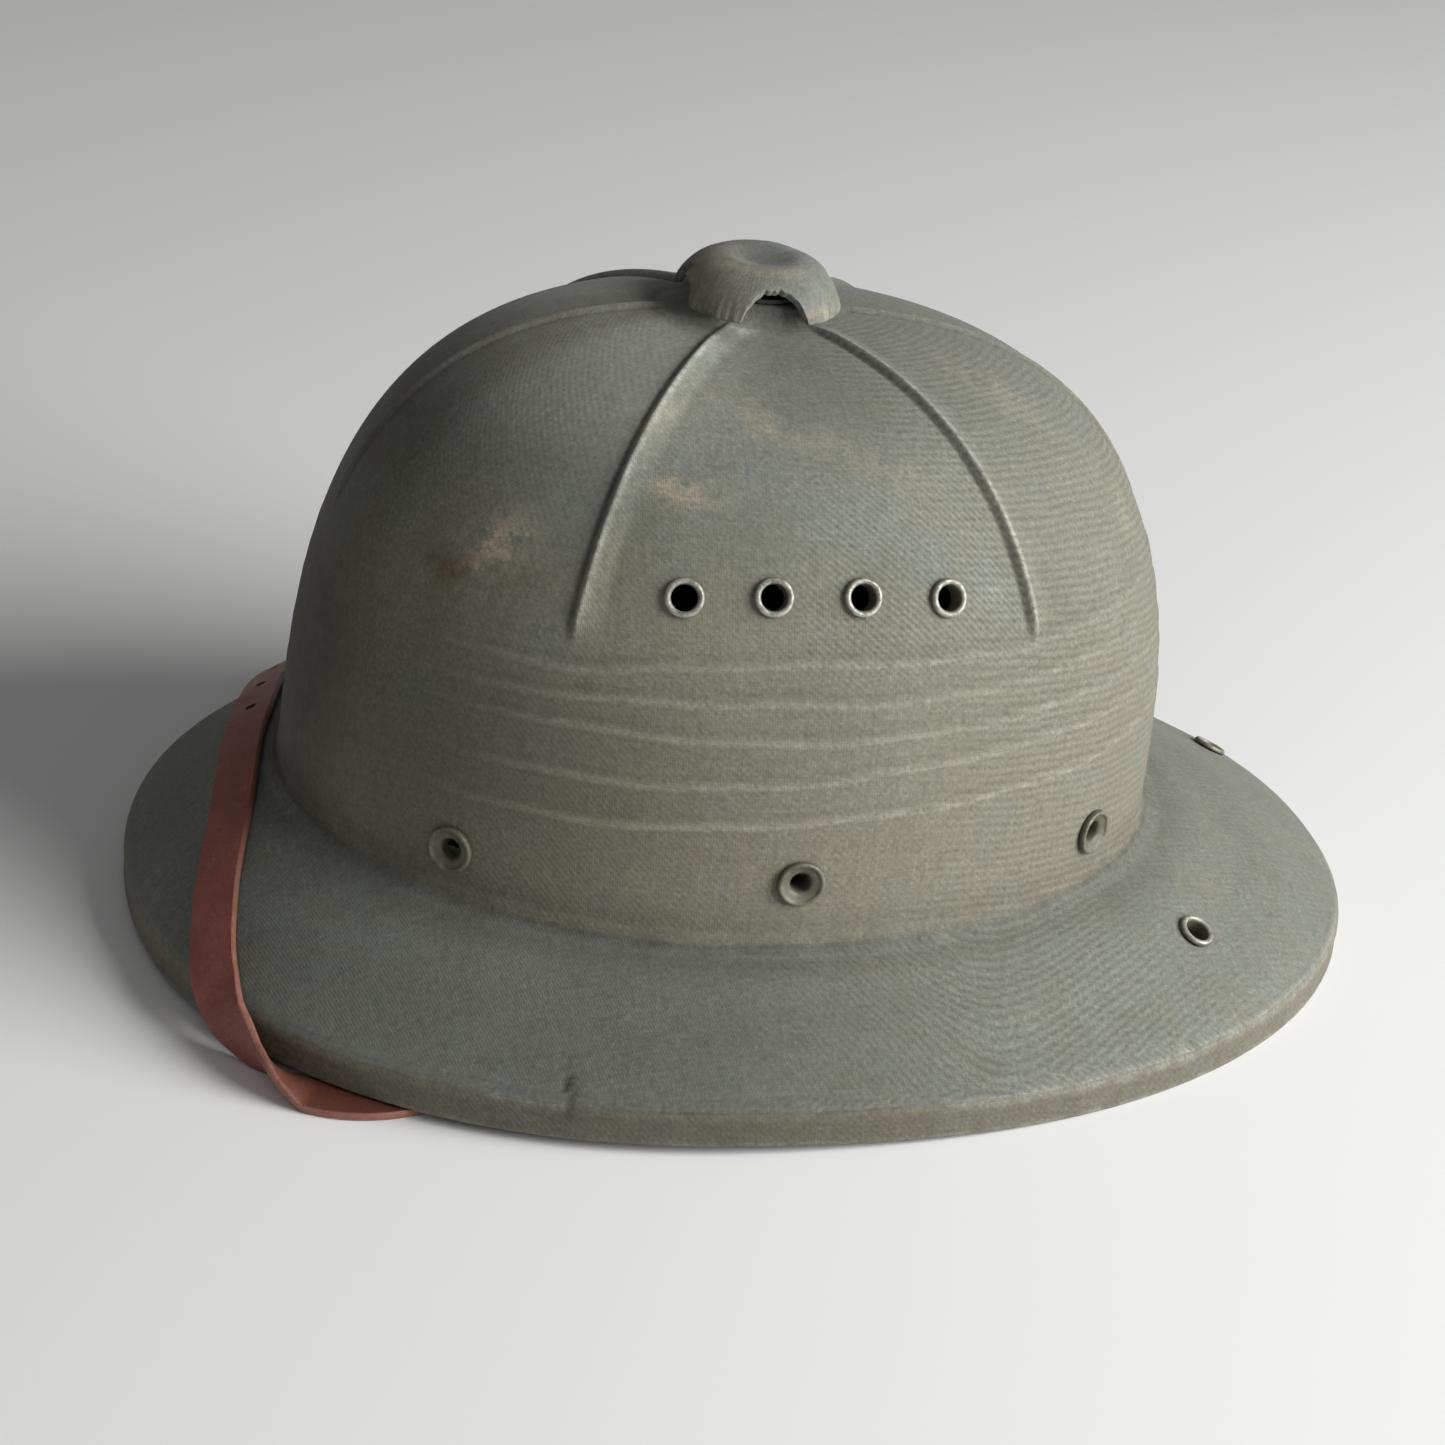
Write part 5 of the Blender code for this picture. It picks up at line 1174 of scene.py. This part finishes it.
def wall_route(sign):
    """Where a strap turns up against the inside of the crown, and on past its rivet."""
    inset = SHELL_WALL + INSIDE_GAP + STRAP_THICKNESS / 2
    foot = math.radians(85)
    stations = [(crown(np.array(sign * foot), 0.0, inset), tilted(sign, foot, math.radians(246)))]
    for step in (-1, 0, 1):
        angle = np.array(sign * (SIDE_MIDDLE + step * STRAP_END / 2 / CROWN_FRONT))
        latitude = latitude_at(MIDDLE_RIVET + step * STRAP_END, inset)
        stations.append((crown(angle, latitude, inset), -crown_normal(angle, latitude)))
    return stations


def buckle_matrix():
    """Local X along the run to the rivet, Z on the grain side, origin on the heel bar."""
    start, start_normal = run_start()
    end, end_normal = off_brim(-1, 82.0, -0.04, 1.90, 215.0)
    x, out = Vector(end - start).normalized(), Vector(start_normal + end_normal)
    matrix = along_matrix(x, out, start + (end - start) * 0.38)
    return matrix @ Matrix.Translation((0, 0, -HEEL_DROP))


BUCKLE = buckle_matrix()


def in_buckle(x, z, degrees=90.0):
    """A station in the buckle's own plane, facing a way given in degrees from local X."""
    turn = math.radians(degrees)
    out = BUCKLE.to_3x3() @ Vector((math.cos(turn), 0, math.sin(turn)))
    return np.array(BUCKLE @ Vector((x, 0, z))), np.array(out)


def frame_at(route, distance):
    """A frame at a distance along a route, Z on its grain side."""
    points, normals = route
    run = run_along(points)
    k = int(np.searchsorted(run, distance))
    share = (distance - run[k - 1]) / (run[k] - run[k - 1])
    place = Vector(points[k - 1]).lerp(Vector(points[k]), share)
    return along_matrix(Vector(points[k] - points[k - 1]).normalized(), Vector(normals[k]), place)


def rivet_pin(side):
    seat = upright_matrix(*SEATS[f"{side}_middle_rivet"])
    return pin(f"{side}_rivet_pin", RIVET_PIN, RIVET_PIN_HALF, seat)


def make_long_strap():
    left = [on_brim(1, *row) for row in LEFT_BRIM] + [off_brim(1, *row) for row in LEFT_RIM] + wall_route(1)
    right = [left[0]] + [on_brim(-1, *row) for row in RIGHT_BRIM] + [off_brim(-1, *row) for row in RIGHT_RIM]
    right += [in_buckle(x, HEEL_DROP) for x in (-BUCKLE_LENGTH, 0, TONGUE_TAIL / 2, TONGUE_TAIL)]
    to_left, to_right = smooth_route(left), smooth_route(right)
    route = [np.concatenate([one[::-1], other[1:]]) for one, other in zip(to_left, to_right)]
    item = ribbon("long_strap_cover", route, STRAP_WIDTH, STRAP_THICKNESS, 3, True, 0.15 * MM)
    cutters = [rivet_pin("left")]
    for k in range(HOLES):
        place = frame_at(to_right, FIRST_HOLE + HOLE_STEP * k)
        cutters.append(pin(f"hole_pin_{k}", HOLE_RADIUS, 4 * MM, place))
    cutters.append(slot_cutter("prong_slot", SLOT_LENGTH, 2 * (PRONG + GAP), 3 * STRAP_THICKNESS,
                               -0.3 * SLOT_LENGTH, HEEL_DROP))
    carve(item, cutters)
    dress(item, STRAP_HIDE, ["long_strap"])


def make_short_strap():
    local = [in_buckle(FOLD_BACK, -LOOP_RADIUS, -90.0)]
    for degrees in np.linspace(-90, -270, 17):
        turn = math.radians(degrees)
        local.append(in_buckle(LOOP_RADIUS * math.cos(turn), LOOP_RADIUS * math.sin(turn), degrees))
    end = TONGUE_TAIL + GAP
    local.append(in_buckle(end / 2, LOOP_RADIUS))
    rest = smooth_route([in_buckle(end, LOOP_RADIUS)] + wall_route(-1))
    route = [np.concatenate([near, far]) for near, far in zip(zip(*local), rest)]
    item = ribbon("short_strap_cover", route, STRAP_WIDTH, STRAP_THICKNESS, 9)
    reach = WIRE + GAP + 2 * PRONG + GAP
    gap = slot_cutter("prong_gap", 2 * reach + STRAP_THICKNESS + 1 * MM, 2 * (PRONG + GAP), 3 * LOOP_RADIUS,
                      -STRAP_THICKNESS / 2, 0)
    carve(item, [gap, rivet_pin("right")])
    dress(item, STRAP_HIDE, ["short_strap"])


def tube(name, points, radius, closed, sides=18):
    """A wire along points in one plane, with rounded ends when it is open."""
    points = moved(np.array(points), BUCKLE)
    if closed:
        along = unit(np.roll(points, -1, 0) - np.roll(points, 1, 0))
        across = np.cross(points[1] - points[0], points[-1] - points[0])
    else:
        along = unit(np.gradient(points, axis=0))
        across = np.array(BUCKLE.to_3x3().col[1])
    side = unit(np.cross(along, across))
    other = np.cross(along, side)
    sizes = np.full(len(points), radius)
    if not closed:
        sizes[[0, -1]] *= 0.55
    turn = turns(sides)[:, None]
    out = side[:, None] * np.cos(turn) + other[:, None] * np.sin(turn)
    body = points[:, None] + sizes[:, None, None] * out
    rows = len(points)
    item = mesh_object(name, body, grid_faces(rows, sides, closed), [] if closed else end_faces(rows, sides))
    item.data.set_sharp_from_angle(angle=math.radians(60))
    set_attributes(item, wear=np.tile(0.5 + 0.5 * np.cos(turn[:, 0]), rows))
    return item


def make_buckle():
    """A round-cornered wire frame that slopes up from its heel bar, and the prong curled round the bar."""
    half = STRAP_WIDTH / 2 + GAP
    tilt = np.array([-math.cos(BUCKLE_TILT), 0, math.sin(BUCKLE_TILT)])
    outline = []
    for along, across, start in ((CORNER, half, 180), (BUCKLE_LENGTH - CORNER, half, 90),
                                 (BUCKLE_LENGTH - CORNER, -half, 0), (CORNER, -half, -90)):
        for turn in np.radians(start - 15 * np.arange(7)):
            place = tilt * (along + CORNER * math.cos(turn))
            outline.append(place + np.array([0, across + CORNER * math.sin(turn), 0]))
    dress(tube("buckle_frame_cover", outline, WIRE, True), BRASS, ["buckle_frame"], "frame")
    ring = WIRE + GAP + PRONG
    turn = math.pi / 2 - BUCKLE_TILT - math.radians(290) * (1 - np.arange(31) / 30)
    curl = stack(ring * np.cos(turn), 0, ring * np.sin(turn))
    shares = np.array([0.25, 0.5, 0.75, 0.97, 1.0])[:, None]
    points = np.concatenate([curl, curl[-1] + tilt * (BUCKLE_LENGTH + WIRE) * shares])
    dress(tube("buckle_prong_cover", points, PRONG, False), BRASS, ["buckle_prong"], "prong")


def sleeve(name, length, width, depth, wall, matrix):
    """A flat tube with round corners along local X, round an opening of width by depth."""
    soft, end = wall * 0.3, length / 2
    turn = np.radians(np.add.outer(90 * np.arange(4), 18 * np.arange(6))).ravel()
    right, up = np.repeat((1, -1, -1, 1), 6), np.repeat((1, 1, -1, -1), 6)
    rings = []
    for x, grow in ((-end + soft, 0), (end - soft, 0), (end, soft), (end, wall - soft), (end - soft, wall),
                    (-end + soft, wall), (-end, wall - soft), (-end, soft)):
        radius = 0.3 * MM + grow * 0.8
        y, z = width / 2 + grow - radius, depth / 2 + grow - radius
        rings.append(stack(x, right * y + radius * np.cos(turn), up * z + radius * np.sin(turn)))
    item = mesh_object(name, moved(np.array(rings), matrix), grid_faces(8, 24, True)[:, ::-1])
    item.data.set_sharp_from_angle(angle=math.radians(40))
    grain = np.repeat([0, 0, 0.5, 1, 1, 1, 1, 0.5], 24)
    set_attributes(item, wear=0.2 + 0.5 * grain, grain=grain, edge=np.repeat([0, 0, 1, 1, 0, 0, 1, 1], 24))
    return item


def make_keeper():
    low = LOOP_RADIUS - STRAP_THICKNESS / 2 - GAP
    high = HEEL_DROP + STRAP_THICKNESS / 2 + GAP
    matrix = BUCKLE @ Matrix.Translation((KEEPER_AT, 0, (low + high) / 2))
    item = sleeve("strap_keeper_cover", KEEPER_LENGTH, STRAP_WIDTH + 2 * GAP, high - low, KEEPER_WALL, matrix)
    dress(item, STRAP_HIDE, ["strap_keeper"], "keeper")


def make_adjuster():
    """The webbing strap at the back of the headband, and the slider on it."""
    share = np.linspace(-1, 1, 61)
    angle = math.pi + share * math.radians(36)
    stand = 0.3 + BAND_THICKNESS / 2 + 1.7 * np.minimum(1, (1 - abs(share)) / 0.2)
    points = band_point(angle, BAND_BOTTOM + BAND_HEIGHT / 2, -stand)
    along = band_point(angle + 1e-3, 0.0, 0.0) - band_point(angle - 1e-3, 0.0, 0.0)
    normals = unit(np.cross(along, lean(0.0, 0.0, 1.0) - lean(0.0, 0.0, 0.0)))
    width, thickness = 13 * MM, BAND_THICKNESS * MM
    item = ribbon("size_strap_cover", (points, normals), width, thickness)
    ribbon_uv(item)
    dress(item, WEB, ["size_strap"])
    x, z = Vector((0, 1, 0)), Vector(normals[30])
    matrix = placed(x, z.cross(x), z, points[30])
    item = sleeve("size_slider_cover", 9 * MM, width + 2 * GAP, thickness + 3 * GAP, 1 * MM, matrix)
    dress(item, BRASS, ["size_slider"], "slider")


make_long_strap()
make_short_strap()
make_buckle()
make_keeper()
make_adjuster()

# The remaining metal pieces keep their own meshes
# The vent collar gets the near-black painted shade.
for node, material in [("vent_collar", DARK_PAINT), ("vent_stem", BRASS)] + [
        (f"{side}_{place}_hanger", STEEL) for side, sign in SIDES for place in ("front", "rear")]:
    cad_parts[node].data.materials[0] = material


# Camera, light, floor

AZIMUTH, ELEVATION, ROLL = math.radians(15.3393), math.radians(27.6109), math.radians(5.7396)
DISTANCE, LENS = 0.90216, 83.9
AIM = Vector((CROWN_X - 3.86 * MM, 0, JUNCTION_HEIGHT + 11.79 * MM))
KEY_POWER, FILL_POWER, WORLD_LEVEL = 59, 1.5, 0.14
FLOOR_SIZE = 6.0


def photo_camera():
    flat = math.cos(ELEVATION)
    back = Vector((math.sin(AZIMUTH) * flat, math.cos(AZIMUTH) * flat, math.sin(ELEVATION)))
    right = Vector((-math.cos(AZIMUTH), math.sin(AZIMUTH), 0))
    up = back.cross(right)
    across = math.cos(ROLL) * right + math.sin(ROLL) * up
    upward = -math.sin(ROLL) * right + math.cos(ROLL) * up
    camera = bpy.data.cameras.new("photo_camera")
    camera.lens = LENS
    camera.clip_start = 0.01
    item = bpy.data.objects.new("photo_camera", camera)
    bpy.context.scene.collection.objects.link(item)
    item.matrix_world = placed(across, upward, back, AIM + back * DISTANCE)
    bpy.context.scene.camera = item
    return item


CAMERA = photo_camera()


def area_light(name, away, size, power, colour):
    light = bpy.data.lights.new(name, "AREA")
    light.shape = "DISK"
    light.size = size
    light.energy = power
    light.color = colour
    item = bpy.data.objects.new(name, light)
    bpy.context.scene.collection.objects.link(item)
    item.location = Vector((0.0, 0.0, 0.08)) + away
    item.rotation_euler = away.to_track_quat("Z", "Y").to_euler()


def make_set():
    turn = CAMERA.matrix_world.to_3x3()
    right = Vector((*turn.col[0].xy, 0)).normalized()
    near = Vector((*turn.col[2].xy, 0)).normalized()
    up = Vector((0, 0, 1))
    area_light("key", (right * 0.90 + near * 0.33 + up * 0.42) * 1.7, 1.5, KEY_POWER, (1.0, 1.0, 0.985))
    area_light("fill", (near * 0.9 - right * 0.25 + up * 0.9) * 1.2, 1.2, FILL_POWER, (1.0, 0.99, 0.97))
    world = bpy.data.worlds.new("studio")
    world.use_nodes = True
    background = world.node_tree.nodes["Background"]
    background.inputs["Color"].default_value = (1.0, 1.0, 1.0, 1)
    background.inputs["Strength"].default_value = WORLD_LEVEL
    bpy.context.scene.world = world
    corners = np.array([(-1, -1, 0), (1, -1, 0), (1, 1, 0), (-1, 1, 0)]) * FLOOR_SIZE
    floor = mesh_object("floor", corners, [[0, 1, 2, 3]])
    paper = Shader("paper")
    paper.set(Base_Color=(0.82, 0.82, 0.82), Roughness=0.9)
    floor.data.materials.append(paper.material)


make_set()
bpy.context.scene.view_settings.view_transform = "Standard"

bpy.context.view_layer.update()
